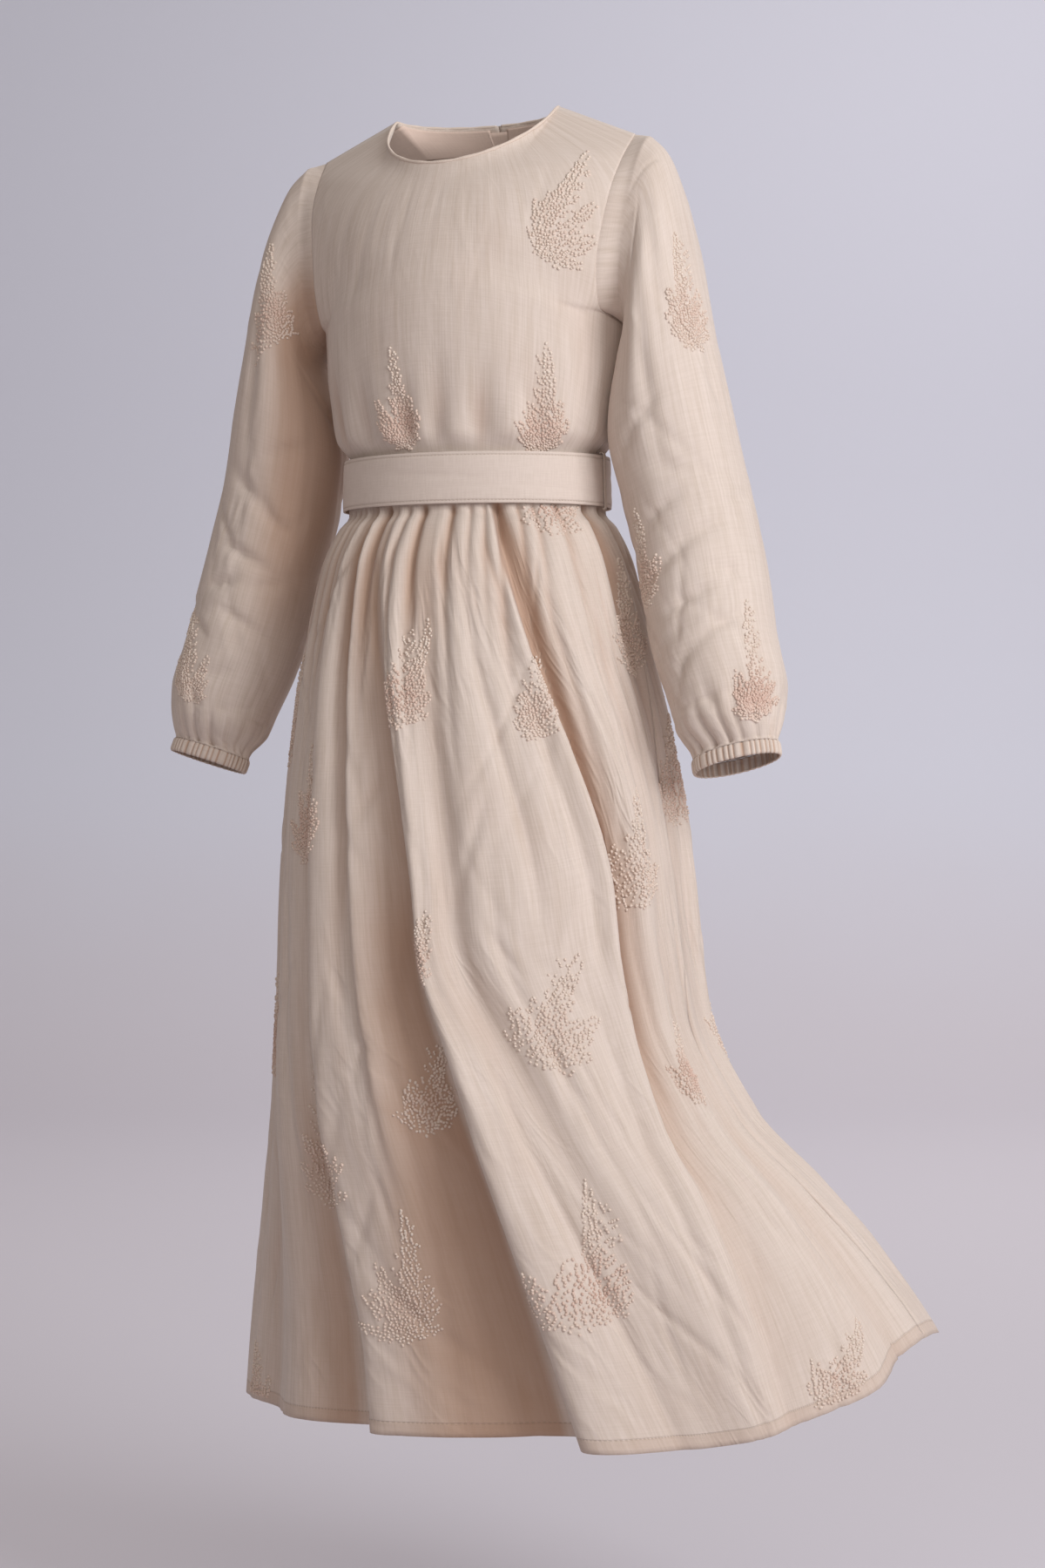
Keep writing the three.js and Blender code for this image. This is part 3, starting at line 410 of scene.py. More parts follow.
# Sleeve creases: ring and angle of the middle (0 the outer line, 90 the front), half width in rings
# and in degrees, slant in rings over that half width, and depth.
SLEEVE_CREASES = {
    Side.LEFT: Table(
        ("ring", "angle", "reach", "spread", "slant", "depth"),
        [
            (4.6, 118, 2.2, 14, 0, 0.006),
            (3.0, 62, 2.2, 10, 0, 0.004),
            (3.8, 34, 2.4, 8, 0.2, 0.003),
            (5.4, 84, 1.8, 8, -0.2, 0.004),
            (5.0, 14, 2.0, 7, 0.2, 0.003),
            (6.2, 104, 0.16, 26, 0.3, 0.0046),
            (6.9, 72, 0.15, 22, -0.14, 0.004),
            (7.5, 98, 0.14, 26, 0.2, 0.0052),
            (8.0, 60, 0.16, 28, 0.14, 0.0056),
            (8.4, 100, 0.15, 26, 0.22, 0.0064),
            (8.8, 44, 0.14, 22, -0.12, 0.0044),
            (9.2, 84, 0.16, 30, 0.16, 0.0064),
            (9.8, 54, 0.15, 24, 0.2, 0.005),
            (10.3, 98, 0.15, 22, 0.26, 0.0046),
            (11.2, 60, 0.6, 8, 0.15, 0.0042),
            (11.4, 88, 0.6, 7, -0.1, 0.004),
            (7.4, 236, 0.18, 36, 0.24, 0.0056),
            (8.4, 252, 0.18, 40, -0.16, 0.0064),
            (9.2, 228, 0.16, 32, 0.18, 0.0056),
            (10.0, 246, 0.17, 30, 0.2, 0.0046),
            (4.0, 240, 2.6, 16, 0, 0.007),
        ],
    ),
    Side.RIGHT: Table(
        ("ring", "angle", "reach", "spread", "slant", "depth"),
        [
            (4.8, 112, 2.3, 15, 0, 0.006),
            (5.0, 72, 2.4, 9, 0, 0.005),
            (6.2, 118, 0.14, 22, -0.2, 0.0045),
            (6.9, 84, 0.15, 26, 0.22, 0.0062),
            (7.3, 116, 0.13, 20, 0.16, 0.0052),
            (7.6, 62, 0.15, 18, 0.34, 0.0044),
            (8.1, 98, 0.15, 28, 0.14, 0.0076),
            (8.5, 128, 0.12, 18, -0.12, 0.0048),
            (8.7, 78, 0.13, 18, -0.1, 0.0056),
            (9.3, 104, 0.14, 24, 0.12, 0.0056),
            (9.7, 66, 0.14, 15, 0.2, 0.004),
            (10.5, 100, 0.16, 20, -0.1, 0.0042),
            (11.3, 84, 0.6, 8, 0.1, 0.004),
            (11.4, 118, 0.6, 7, -0.1, 0.0036),
            (7.0, 246, 0.16, 34, 0.2, 0.0056),
            (7.9, 228, 0.17, 38, -0.14, 0.0062),
            (8.6, 254, 0.16, 36, 0.18, 0.0066),
            (9.6, 232, 0.17, 34, 0.2, 0.0052),
            (4.2, 236, 2.4, 16, 0, 0.007),
        ],
    ),
}


@dataclass(frozen=True)
class Crinkle:
    """Small soft creases scattered over a piece of cloth, uneven but the same in each run."""

    seed: int
    count: int
    width: float
    height: float
    depth: float = 0.0010
    length: Pair = (0.018, 0.07)
    half_width: Pair = (0.0022, 0.0050)
    slant: float = 0.25
    bow: float = 0.9
    reach: float = 2.6

    def inward(self, across: Array, along: Array) -> Array:
        """How far the cloth sinks at each place, from its place across and along the piece.

        Args:
            across: Places across the piece.
            along: Places along the piece.

        Returns:
            The depth at each place.
        """
        dice = np.random.default_rng(self.seed)
        sunk = np.zeros_like(across)
        for _ in range(self.count):
            middle = dice.uniform(0, self.width), dice.uniform(0, self.height)
            length = dice.uniform(*self.length)
            half = dice.uniform(*self.half_width)
            lean = dice.normal(0, self.slant)
            depth = dice.uniform(-0.5, 1.0) * self.depth
            near = np.flatnonzero(np.abs(along - middle[1]) < self.reach * length)
            run = along[near] - middle[1]
            beside = across[near] - middle[0] - lean * run - self.bow * run * run
            sunk[near] += depth * bell(beside / half) * bell(run / length)
        return sunk


class SkirtForm:
    """Shape of the skirt: v runs from 0 at the waist seam to 1 at the hem."""

    waist_girth = 2.5
    drop = 0.93
    crinkle = Crinkle(
        seed=5,
        count=900,
        width=waist_girth,
        height=0.98,
        depth=0.0030,
        half_width=(0.0034, 0.0075),
        slant=0.45,
    )
    belt_edge = (0.014, 0.034)
    gather_depth = 1.25
    gather_spread = 0.62
    gather_flare = 12
    gather_drift = 14
    lean_by_depth = 26
    straight_from = (0.42, 0.60)
    line_stations = (0.0, 0.08, 0.5, 1.0)
    depth_stations = (0.0, 0.08, 0.5, 0.8, 1.0)
    early_turn = 0.2
    ridge = (2.2, 1.2, 0.1)
    bank = (1.9, 1.1)
    calm_side = ((8, 20), (70, 84))
    calm = 0.45

    def fall(self, stations: Sequence[float], v: Array) -> Array:
        """Angle of a fold line: curved in its upper half, then straight down to the hem.

        Args:
            stations: Its angles at the waist, a little below it, half way down and at the hem.
            v: Places down the skirt.

        Returns:
            The line's angle at each place.
        """
        angle = curve_through(np.array(self.line_stations), np.array(stations), v)
        ends = []
        for station, height in ((stations[2], 0.5), (stations[3], 1.0)):
            at = np.array([station])
            z = mix(WAIST_SEAM_Z, HEM.read("angle", "z", turn_between(at, 0)), height)
            names = ("width", "depth", "left", "back")
            width, depth, left, back = (SKIRT_RINGS.read("z", name, z) for name in names)
            turned = np.radians(at)
            ends.append((left + width * np.sin(turned), back - depth * np.cos(turned)))
        z = mix(WAIST_SEAM_Z, HEM.read("angle", "z", turn_between(angle, 0)), v)
        share = 2 * v - 1
        x, y = (mix(start, end, share) for start, end in zip(*ends, strict=True))
        across = (x - SKIRT_RINGS.read("z", "left", z)) / SKIRT_RINGS.read("z", "width", z)
        fore = (SKIRT_RINGS.read("z", "back", z) - y) / SKIRT_RINGS.read("z", "depth", z)
        straight = angle + turn_between(np.degrees(np.arctan2(across, fore)), angle)
        return mix(angle, straight, smooth(v, *self.straight_from))

    def stations(self, fold: dict[str, float]) -> tuple[float, float, float, float]:
        """Angles of a fold at the waist, a little below it, half way down and at the hem."""
        early = mix(fold["waist"], fold["middle"], self.early_turn)
        return fold["waist"], early, fold["middle"], fold["hem"]

    def flow(self, angle: Array, v: Array) -> Array:
        """Place along the waist that the cloth at each point hangs from, in degrees.

        Args:
            angle: Angles round the body.
            v: Shares of the height.

        Returns:
            The place for each point.
        """
        folds = sorted(SKIRT_FOLDS.rows(), key=lambda fold: fold["waist"])
        lines = np.stack([self.fall(self.stations(fold), v) for fold in folds], 1)
        lines = np.hstack([lines[:, -1:] - 360, lines, lines[:, :1] + 360])
        waist = np.array([fold["waist"] for fold in folds])
        waist = np.concatenate([waist[-1:] - 360, waist, waist[:1] + 360])
        left = np.clip((lines <= angle[:, None]).sum(1) - 1, 0, len(waist) - 2)
        here = np.arange(angle.size)
        start, end = lines[here, left], lines[here, left + 1]
        return mix(waist[left], waist[left + 1], (angle - start) / np.maximum(end - start, 0.5))

    def gathers(self, angle: Array, v: Array) -> Array:
        """Depth of the gathers that leave the belt.

        Args:
            angle: Angles round the body.
            v: Shares of the height.

        Returns:
            The depth at each place.
        """
        depth = np.zeros_like(angle)
        rise = smooth(v, *self.belt_edge)
        for gather in WAIST_GATHERS.rows():
            spread = self.gather_spread * gather["spread"] + self.gather_flare * v
            across = turn_between(angle, gather["angle"] + self.gather_drift * v) / spread
            depth += self.gather_depth * gather["depth"] * rise * bell(v / gather["reach"]) * pinch(across)
        return depth

    def folds(self, angle: Array, v: Array) -> tuple[Array, Array]:
        """Depth of the deep folds, and how far each bank leans over the fold's trough in degrees.

        Args:
            angle: Angles round the body.
            v: Shares of the height.

        Returns:
            The depth and the lean at each place.
        """
        depth = np.zeros_like(angle)
        lean = np.zeros_like(angle)
        keys = np.array(self.depth_stations)
        place, spread, height = self.ridge
        for fold in SKIRT_FOLDS.rows():
            steep = fold["steep"]
            depths = np.array([0.0, fold["top"], fold["half"], fold["low"], fold["bottom"]])
            half_width = mix(fold["narrow"], fold["wide"], v)
            x = turn_between(angle, self.fall(self.stations(fold), v)) / half_width
            squeezed = np.where(x * steep > 0, x * (1 + abs(steep)), x)
            ridge = bell((squeezed - place * np.sign(steep)) / spread)
            deep = curve_through(keys, depths, v)
            depth += deep * (bell(squeezed) - height * abs(steep) * ridge)
            over = bell((squeezed - self.bank[0] * np.sign(steep)) / self.bank[1])
            lean -= np.sign(steep) * over * max(abs(steep) - 1, 0) * deep * self.lean_by_depth
        return depth, lean

    def creases(self, hung: Array, v: Array) -> Array:
        """Depth of the softer creases between the deep folds.

        Args:
            hung: Places along the waist.
            v: Shares of the height.

        Returns:
            The depth at each place.
        """
        depth = np.zeros_like(hung)
        for crease in SKIRT_CREASES.rows():
            middle = (crease["start"] + crease["end"]) / 2
            reach = (crease["end"] - crease["start"]) / 2
            share = (v - middle) / reach
            line = crease["angle"] + crease["drift"] * np.sin(2.2 * share)
            across = turn_between(hung, line) / crease["spread"]
            fade = np.clip(1 - share * share, 0, 1)
            profile = 0.8 * pinch(across * 1.3) + 0.3 * bell(across) - 0.35 * bell(across / 2.4)
            depth += crease["depth"] * fade * profile
        start, end = self.calm_side
        calm = smooth(hung, *start) * (1 - smooth(hung, *end)) * smooth(v, 0.5, 0.8)
        return depth * (1 - self.calm * calm)

    def inward(self, angle: Array, v: Array) -> tuple[Array, Array]:
        """Depth of all folds together, and the lean of the banks.

        Args:
            angle: Angles round the body.
            v: Shares of the height.

        Returns:
            The depth and the lean at each place.
        """
        hung = self.flow(angle, v)
        across = (hung + 180) / 360 * self.waist_girth
        deep, lean = self.folds(angle, v)
        small = self.creases(hung, v)
        small += self.crinkle.inward(across, self.drop * v) * smooth(v, 0.03, 0.10)
        return deep + self.gathers(angle, v) + small, lean

    def point(self, angle: Array, v: Array) -> Array:
        """Points of the skirt's outer side.

        Args:
            angle: Angles round the body.
            v: Shares of the height.

        Returns:
            A point for each place.
        """
        z = mix(WAIST_SEAM_Z, HEM.read("angle", "z", turn_between(angle, 0)), v)
        inward, lean = self.inward(angle, v)
        width = SKIRT_RINGS.read("z", "width", z) - inward
        depth = SKIRT_RINGS.read("z", "depth", z) - inward
        turned = np.radians(angle + lean)
        x = SKIRT_RINGS.read("z", "left", z) + width * np.sin(turned)
        y = SKIRT_RINGS.read("z", "back", z) - depth * np.cos(turned)
        return np.stack([x, y, z + HOLD], 1)


def section_points(table: Table, turn: Array, facing: int) -> list[Array]:
    """Points where each bodice section passes a turn from 0 at the centre to 90 at the edge.

    Args:
        table: The half's sections.
        turn: Turns round the section.
        facing: -1 in front, +1 behind.

    Returns:
        The x, y and z of the sections, a row for each.
    """
    share = turn / 90
    column = {name: table[name][:, None] for name in table.column}
    across = mix(np.sin(np.radians(turn)), share, column["flat"])
    rise = mix(np.cos(np.radians(turn)), 1 - share * share, column["flat"])
    return [
        column["width"] * across,
        facing * mix(column["edge"], column["mid"], rise),
        mix(column["edge_z"], column["mid_z"], rise),
    ]


@dataclass(frozen=True)
class BodiceForm:
    """Shape of the bodice: v runs from 0 at the waist seam to 1 at the neckline and shoulder."""

    neck_half_width: float = 0.090
    neck_depth: Pair = (0.079, 0.050)
    neck_drop: Pair = (0.060, 0.003)
    tip: Triple = (0.172, 0.002, -0.034)
    neck_point_angle: float = 40
    tuck: float = 0.0011
    pull: float = 0.0011
    seam_angles: Pair = (89.2, 90.8)
    inner_angles: Pair = (87.0, 93.0)
    armhole_shares: Pair = (0.999, 0.5)
    girth: float = 0.9
    crinkle: Crinkle = Crinkle(
        seed=11, count=150, width=0.9, height=0.37, depth=0.0010, half_width=(0.003, 0.007)
    )

    def top_edge(self, turn: Array, facing: int) -> list[Array]:
        """Points of the neckline and the shoulder seam.

        Args:
            turn: Turns round the section.
            facing: -1 in front, +1 behind.

        Returns:
            The x, y and z.
        """
        half = self.neck_point_angle
        share = np.clip((turn - half) / (90 - half), 0, 1)
        shoulder = [
            mix(self.neck_half_width, self.tip[0], share),
            self.tip[1] * share + facing * SEAM_GAP / 2,
            self.tip[2] * share,
        ]
        round_ = np.radians(90 * np.clip(turn, 0, half) / half)
        back = int(facing > 0)
        neck = [
            self.neck_half_width * np.sin(round_),
            facing * (self.neck_depth[back] * np.cos(round_) + SEAM_GAP / 2),
            -self.neck_drop[back] * np.cos(round_),
        ]
        return [np.where(turn >= half, s, n) for s, n in zip(shoulder, neck, strict=True)]

    def half(self, turn: Array, row: Array, facing: int) -> list[Array]:
        """Points of the front half or of the back half, on the wearer's left.

        Args:
            turn: Turns round the section.
            row: Rows of the table.
            facing: -1 in front, +1 behind.

        Returns:
            The x, y and z.
        """
        table = FRONT_SECTIONS if facing < 0 else BACK_SECTIONS
        lines = section_points(table, turn, facing)
        stations = [
            np.vstack([line, edge]) for line, edge in zip(lines, self.top_edge(turn, facing), strict=True)
        ]
        keys = np.arange(table.length + 1.0)
        return [curve_through(keys, station, row) for station in stations]

    def drapes(self, angle: Array, row: Array) -> Array:
        """Depth of the soft drapes.

        Args:
            angle: Angles round the body.
            row: Rows of the table.

        Returns:
            The depth at each place.
        """
        depth = np.zeros_like(angle)
        for fold in BODICE_DRAPES.rows():
            across = turn_between(angle, fold["angle"]) / fold["spread"]
            depth += fold["depth"] * bell(across) * bell((row - fold["section"]) / fold["reach"])
        return depth

    def around(self, x: Array, y: Array) -> Array:
        """Place round the body, in metres from the centre back."""
        return (np.arctan2(x, -y) / (2 * np.pi) + 0.5) * self.girth

    def small(self, angle: Array, row: Array, x: Array, y: Array, z: Array) -> Array:
        """Depth of the small creases, which fade out towards the seams.

        Args:
            angle: Angles round the body.
            row: Rows of the table.
            x: Places to the left.
            y: Places to the back.
            z: Heights.

        Returns:
            The depth at each place.
        """
        turn = np.abs(turn_between(angle, 0))
        inside = smooth(np.abs(turn - 90), 1, 9) * smooth(row, 1.2, 2.2)
        inside = inside * (1 - smooth(row, 8.2, 9.6)) * smooth(180 - turn, 0, 6)
        sunk = self.crinkle.inward(self.around(x, y), z + 0.38)
        ripple = 1 + np.sin(np.radians(angle * 21) + 2 * np.sin(angle / 9))
        pulls = self.pull * bell((row - 1.9) / 0.8) * ripple
        return inside * (sunk + pulls)

    def point(self, angle: Array, v: Array) -> Array:
        """Points of the bodice's outer side.

        Args:
            angle: Angles round the body.
            v: Shares of the height.

        Returns:
            A point for each place.
        """
        turned = turn_between(angle, 0)
        front = np.abs(turned) <= 90
        turn = np.where(front, np.abs(turned), 180 - np.abs(turned))
        row = v * FRONT_SECTIONS.length
        fore, aft = self.half(turn, row, -1), self.half(turn, row, 1)
        x, y, z = (np.where(front, f, a) for f, a in zip(fore, aft, strict=True))
        x = np.where(turned < 0, -1, 1) * x
        inward = smooth(row, 1, 2.2) * self.drapes(turned, row) + self.small(turned, row, x, y, z)
        keep = 1 - inward / np.maximum(0.001, np.hypot(x, y))
        return np.stack([x * keep, y * keep, z + HOLD], 1)

    def armhole(self, turn: Array) -> Array:
        """Seam under the armhole edge, from 0 at the shoulder tip round the front to 180 below.

        Args:
            turn: Turns round the armhole.

        Returns:
            A point for each place.
        """
        front = turn <= 180
        v = mix(*self.armhole_shares, np.where(front, turn / 180, (360 - turn) / 180))
        edge = np.where(front, *self.seam_angles)
        point = self.point(edge, v)
        along = self.point(edge, v + 0.002) - self.point(edge, v - 0.002)
        outward = point - self.point(np.where(front, *self.inner_angles), v)
        inward = unit(np.cross(along, outward) * np.where(front, 1, -1)[:, None])
        middle = np.stack([point[:, 0] * 0.5, 0 * point[:, 1], point[:, 2] * 0 - 0.15], 1) - point
        inward *= np.sign((inward * middle).sum(1, keepdims=True))
        return point + self.tuck * inward


@dataclass(frozen=True)
class SleeveForm:
    """Shape of a sleeve, made as the left one: v from 0 at the armhole to 1 at the cuff seam."""

    side: Side
    bodice: BodiceForm
    clearance: float = 0.004
    belt_clearance: float = 0.0048
    girth: float = 0.40
    length: float = 0.62
    row_height: float = 0.045
    gathers: int = 17
    pucker: float = 0.0062
    seam_hold: float = 0.78
    cap_squeeze: float = 0.16

    @property
    def swing(self) -> float:
        """How far the elbow is carried outwards."""
        return 0.0 if self.side is Side.LEFT else 0.008

    def clear_of_body(self, point: Array) -> Array:
        """Moves points that would touch the body's outline out to it.

        Args:
            point: Points.

        Returns:
            The points, moved.
        """
        z = point[:, 2] - HOLD
        rows = slice(0, 6)
        on_bodice = z > WAIST_SEAM_Z
        keys, widths = FRONT_SECTIONS["edge_z"][rows], FRONT_SECTIONS["width"][rows]
        depths = FRONT_SECTIONS["mid"][rows]
        width = np.where(on_bodice, curve_through(keys, widths, z), SKIRT_RINGS.read("z", "width", z))
        depth = np.where(on_bodice, curve_through(keys, depths, z), SKIRT_RINGS.read("z", "depth", z))
        beside_belt = (z < BELT_TOP_Z + 0.006) & (z > BELT_TOP_Z - BELT_HEIGHT - 0.008)
        clear = self.clearance + np.where(beside_belt, self.belt_clearance, 0)
        share = np.hypot(point[:, 0] / (width + clear), point[:, 1] / (depth + clear))
        move = np.where((z <= -0.219) & (share < 1), share, 1)
        return point / np.stack([move, move, np.ones_like(move)], 1)

    def ring_frame(self, ring: dict[str, Array]) -> tuple[Array, Array, Array]:
        """Unit directions of a ring: outward, towards the back, and down the arm.

        Args:
            ring: Values of the ring, by column.

        Returns:
            The three directions at each place.
        """
        zero = np.zeros_like(ring["out_x"])
        outward = unit(np.stack([ring["out_x"] - ring["in_x"], zero, ring["out_z"] - ring["in_z"]], 1))
        tip = np.radians(ring["tip"])
        back = np.stack([zero, np.cos(tip), -np.sin(tip)], 1)
        back -= outward * (back * outward).sum(1, keepdims=True)
        back = unit(back)
        down = -np.cross(outward, back)
        return outward, back, np.where(down[:, 2:] > 0, -down, down)

    def ring_at(self, row: Array) -> dict[str, Array]:
        """The ring at a row of the table.

        Args:
            row: Rows of the table.

        Returns:
            Its values, by column.
        """
        keys = np.arange(LAST_RING + 1.0)
        ring = {name: curve_through(keys, SLEEVE_RINGS[name], row) for name in SLEEVE_RINGS.column}
        outwards = self.swing * np.sin(np.pi * row / LAST_RING)
        ring["out_x"] = ring["out_x"] + outwards
        ring["in_x"] = ring["in_x"] + outwards
        return ring

    def ring_point(self, ring: dict[str, Array], turn: Array, grow: Array) -> Array:
        """Points on a ring, grown outwards.

        Args:
            ring: Values of the ring, by column.
            turn: Turns round the arm.
            grow: How far to grow the ring.

        Returns:
            A point for each place.
        """
        outward, back, _ = self.ring_frame(ring)
        across, up = ring["out_x"] - ring["in_x"], ring["out_z"] - ring["in_z"]
        half = np.hypot(across, up) / 2
        middle = np.stack(
            [(ring["out_x"] + ring["in_x"]) / 2, ring["y"], (ring["out_z"] + ring["in_z"]) / 2 + HOLD], 1
        )
        out = ((half + grow) * np.cos(np.radians(turn)))[:, None]
        fore = ((ring["depth"] + grow) * np.sin(np.radians(turn)))[:, None]
        return middle + out * outward - fore * back

    def creases(self, turn: Array, row: Array) -> Array:
        """Depth of the creases, and of the gathers above the cuff.

        Args:
            turn: Turns round the arm.
            row: Rows of the table.

        Returns:
            The depth at each place.
        """
        depth = np.zeros_like(turn)
        for fold in SLEEVE_CREASES[self.side].rows():
            across = turn_between(turn, fold["angle"]) / fold["spread"]
            along = (row - fold["ring"] - fold["slant"] * across) / fold["reach"]
            depth += fold["depth"] * bell(across) * mix(bell(along), pinch(2 * along), 0.6)
        seed = 21 if self.side is Side.LEFT else 34
        along = row * self.row_height
        around = turn / 360 * self.girth
        size, half_width = (self.girth, self.length), (0.003, 0.006)
        lengthwise = Crinkle(seed, 110, *size, 0.0022, (0.02, 0.06), half_width, 0.5)
        crosswise = Crinkle(seed + 1, 90, *size[::-1], 0.0024, (0.02, 0.05), half_width, 0.4)
        depth += lengthwise.inward(around, along)
        depth += crosswise.inward(along, around) * smooth(row, 5.5, 8) * (1 - smooth(row, 11, 13))
        near_cuff = smooth(row, LAST_RING - 3.4, LAST_RING - 0.8)
        into_seam = 1 - smooth(row, LAST_RING - 0.5, LAST_RING)
        phase = np.radians(turn) * self.gathers + 0.9 * np.sin(np.radians(turn) * 5)
        uneven = 1 + 0.5 * np.sin(np.radians(turn) * 3 + seed)
        gathered = pinch(1.6 * np.sin(phase / 2)) * uneven
        return depth + self.pucker * near_cuff * into_seam * gathered

    def point(self, turn: Array, v: Array) -> Array:
        """Points of the sleeve's outer side, mirrored to its own side.

        Args:
            turn: Turns round the arm.
            v: Shares of the sleeve, from the armhole.

        Returns:
            A point for each place.
        """
        row = v * (LAST_RING + 1) - 1
        inside = np.maximum(row, 0)
        ringed = self.ring_point(self.ring_at(inside), turn, -self.creases(turn, inside))
        start = self.ring_point(self.ring_at(np.zeros_like(row)), turn, np.zeros_like(row))
        ringed, start = self.clear_of_body(ringed), self.clear_of_body(start)
        seam = self.bodice.armhole(turn)
        lead = mix(seam, start, np.clip(row + 1, 0, 1)[:, None])
        point = np.where(row[:, None] >= 0, ringed, lead)
        point[:, 1] = mix(point[:, 1], seam[:, 1], self.seam_hold * (1 - smooth(row, -0.9, 3.2)))
        point[:, 1] *= 1 - self.cap_squeeze * smooth(row, -1, 0) * (1 - smooth(row, 1, 4))
        return point * [self.side.sign, 1, 1]

    def cuff_point(self, turn: Array, down: Array, grow: Array) -> Array:
        """Points of the cuff band, from its height below the seam.

        Args:
            turn: Turns round the arm.
            down: How far below the seam.
            grow: How far to grow the ring.

        Returns:
            A point for each place.
        """
        ring = self.ring_at(np.full_like(turn, LAST_RING))
        along = self.ring_frame(ring)[2] * down[:, None]
        return (self.ring_point(ring, turn, grow) + along) * [self.side.sign, 1, 1]


SKIRT = SkirtForm()
BODICE = BodiceForm()


def srgb(red: int, green: int, blue: int) -> tuple[float, float, float, float]:
    """Colour for a shader, from the screen values of a colour swatch."""
    return (*(((c / 255 + 0.055) / 1.055) ** 2.4 for c in (red, green, blue)), 1.0)


class Signal:
    """A socket's value in shader maths."""

    def __init__(self, recipe: "Recipe", socket: bpy.types.NodeSocket) -> None:
        """Wraps a socket of a recipe."""
        self.recipe = recipe
        self.socket = socket

    def _maths(self, operation: str, *values: "Signal | float") -> "Signal":
        """Adds a Math node."""
        return self.recipe.node("ShaderNodeMath", {"operation": operation}, dict(enumerate(values)))

    def __add__(self, other: "Signal | float") -> "Signal":
        """Sum."""
        return self._maths("ADD", self, other)

    def __mul__(self, other: "Signal | float") -> "Signal":
        """Product."""
        return self._maths("MULTIPLY", self, other)

    def __sub__(self, other: "Signal | float") -> "Signal":
        """Difference."""
        return self._maths("SUBTRACT", self, other)

    def __rsub__(self, other: float) -> "Signal":
        """Difference from a number."""
        return self._maths("SUBTRACT", other, self)

    def __abs__(self) -> "Signal":
        """Size without its sign."""
        return self._maths("ABSOLUTE", self)

    def sine(self) -> "Signal":
        """Sine."""
        return self._maths("SINE", self)

    def step(self, low: float, high: float) -> "Signal":
        """Soft step from 0 at low to 1 at high."""
        settings = {"interpolation_type": "SMOOTHSTEP"}
        return self.recipe.node("ShaderNodeMapRange", settings, {0: self, 1: low, 2: high})


class Recipe:
    """A material's node tree."""

    def __init__(self, name: str) -> None:
        """Starts a material with a bare principled shader.

        Args:
            name: Its name.
        """
        self.material = bpy.data.materials.new(name)
        self.material.use_nodes = True
        self.tree = self.material.node_tree
        self.shader = next(n for n in self.tree.nodes if n.type == "BSDF_PRINCIPLED")

    def node(
        self,
        kind: str,
        settings: dict[str, object] | None = None,
        inputs: dict | None = None,
        out: int | str = 0,
    ) -> Signal:
        """Adds one node.

        Args:
            kind: Node type.
            settings: Node properties, set first.
            inputs: Values or links of its sockets, by name or number.
            out: The output that is read.

        Returns:
            That output.
        """
        node = self.tree.nodes.new(kind)
        for name, value in (settings or {}).items():
            setattr(node, name, value)
        for key, value in (inputs or {}).items():
            self.feed(node.inputs[key], value)
        return Signal(self, node.outputs[out])

    def feed(self, socket: bpy.types.NodeSocket, value: object) -> None:
        """Sets a socket to a value, or links it.

        Args:
            socket: The socket.
            value: A number, a colour or a link.
        """
        if isinstance(value, Signal):
            self.tree.links.new(value.socket, socket)
        else:
            socket.default_value = value

    def shade(self, **inputs: object) -> None:
        """Sets the shader's own sockets, such as Base_Color."""
        for name, value in inputs.items():
            self.feed(self.shader.inputs[name.replace("_", " ")], value)

    def blend(self, share: Signal | float, a: object, b: object, kind: str = "MIX") -> Signal:
        """Mixes two colours."""
        settings = {"data_type": "RGBA", "blend_type": kind}
        return self.node("ShaderNodeMix", settings, {0: share, 6: a, 7: b}, 2)

    def weave(self) -> tuple[Signal, Signal]:
        """Places across and along the cloth, in metres.

        Returns:
            The two values.
        """
        uv = self.node("ShaderNodeUVMap", {"uv_map": "weave"})
        split = self.node("ShaderNodeSeparateXYZ", {}, {0: uv})
        return split, Signal(self, split.socket.node.outputs[1])

    def point(self, x: Signal, y: Signal, z: Signal | float = 0.0) -> Signal:
        """A vector from three values."""
        return self.node("ShaderNodeCombineXYZ", {}, {0: x, 1: y, 2: z})

    def noise(self, where: Signal, detail: float = 2.0, rough: float = 0.5, scale: float = 1.0) -> Signal:
        """Cloudy noise from 0 to 1."""
        inputs = {"Vector": where, "Scale": scale, "Detail": detail, "Roughness": rough}
        return self.node("ShaderNodeTexNoise", {}, inputs)

    def grain(
        self,
        place: tuple[Signal, Signal],
        spots: Pair,
        seed: float,
        detail: float = 2.0,
        rough: float = 0.5,
    ) -> Signal:
        """Cloudy noise on the cloth, with so many spots a metre across and along it."""
        across, along = place
        return self.noise(self.point(across * spots[0], along * spots[1], seed), detail, rough)

    def bump(self, height: Signal, distance: float, strength: float = 1.0) -> Signal:
        """A bumped normal."""
        inputs = {"Height": height, "Distance": distance, "Strength": strength}
        return self.node("ShaderNodeBump", {}, inputs)

    def attribute(self, name: str) -> Signal:
        """A number kept on the mesh."""
        return self.node("ShaderNodeAttribute", {"attribute_name": name}, None, "Fac")


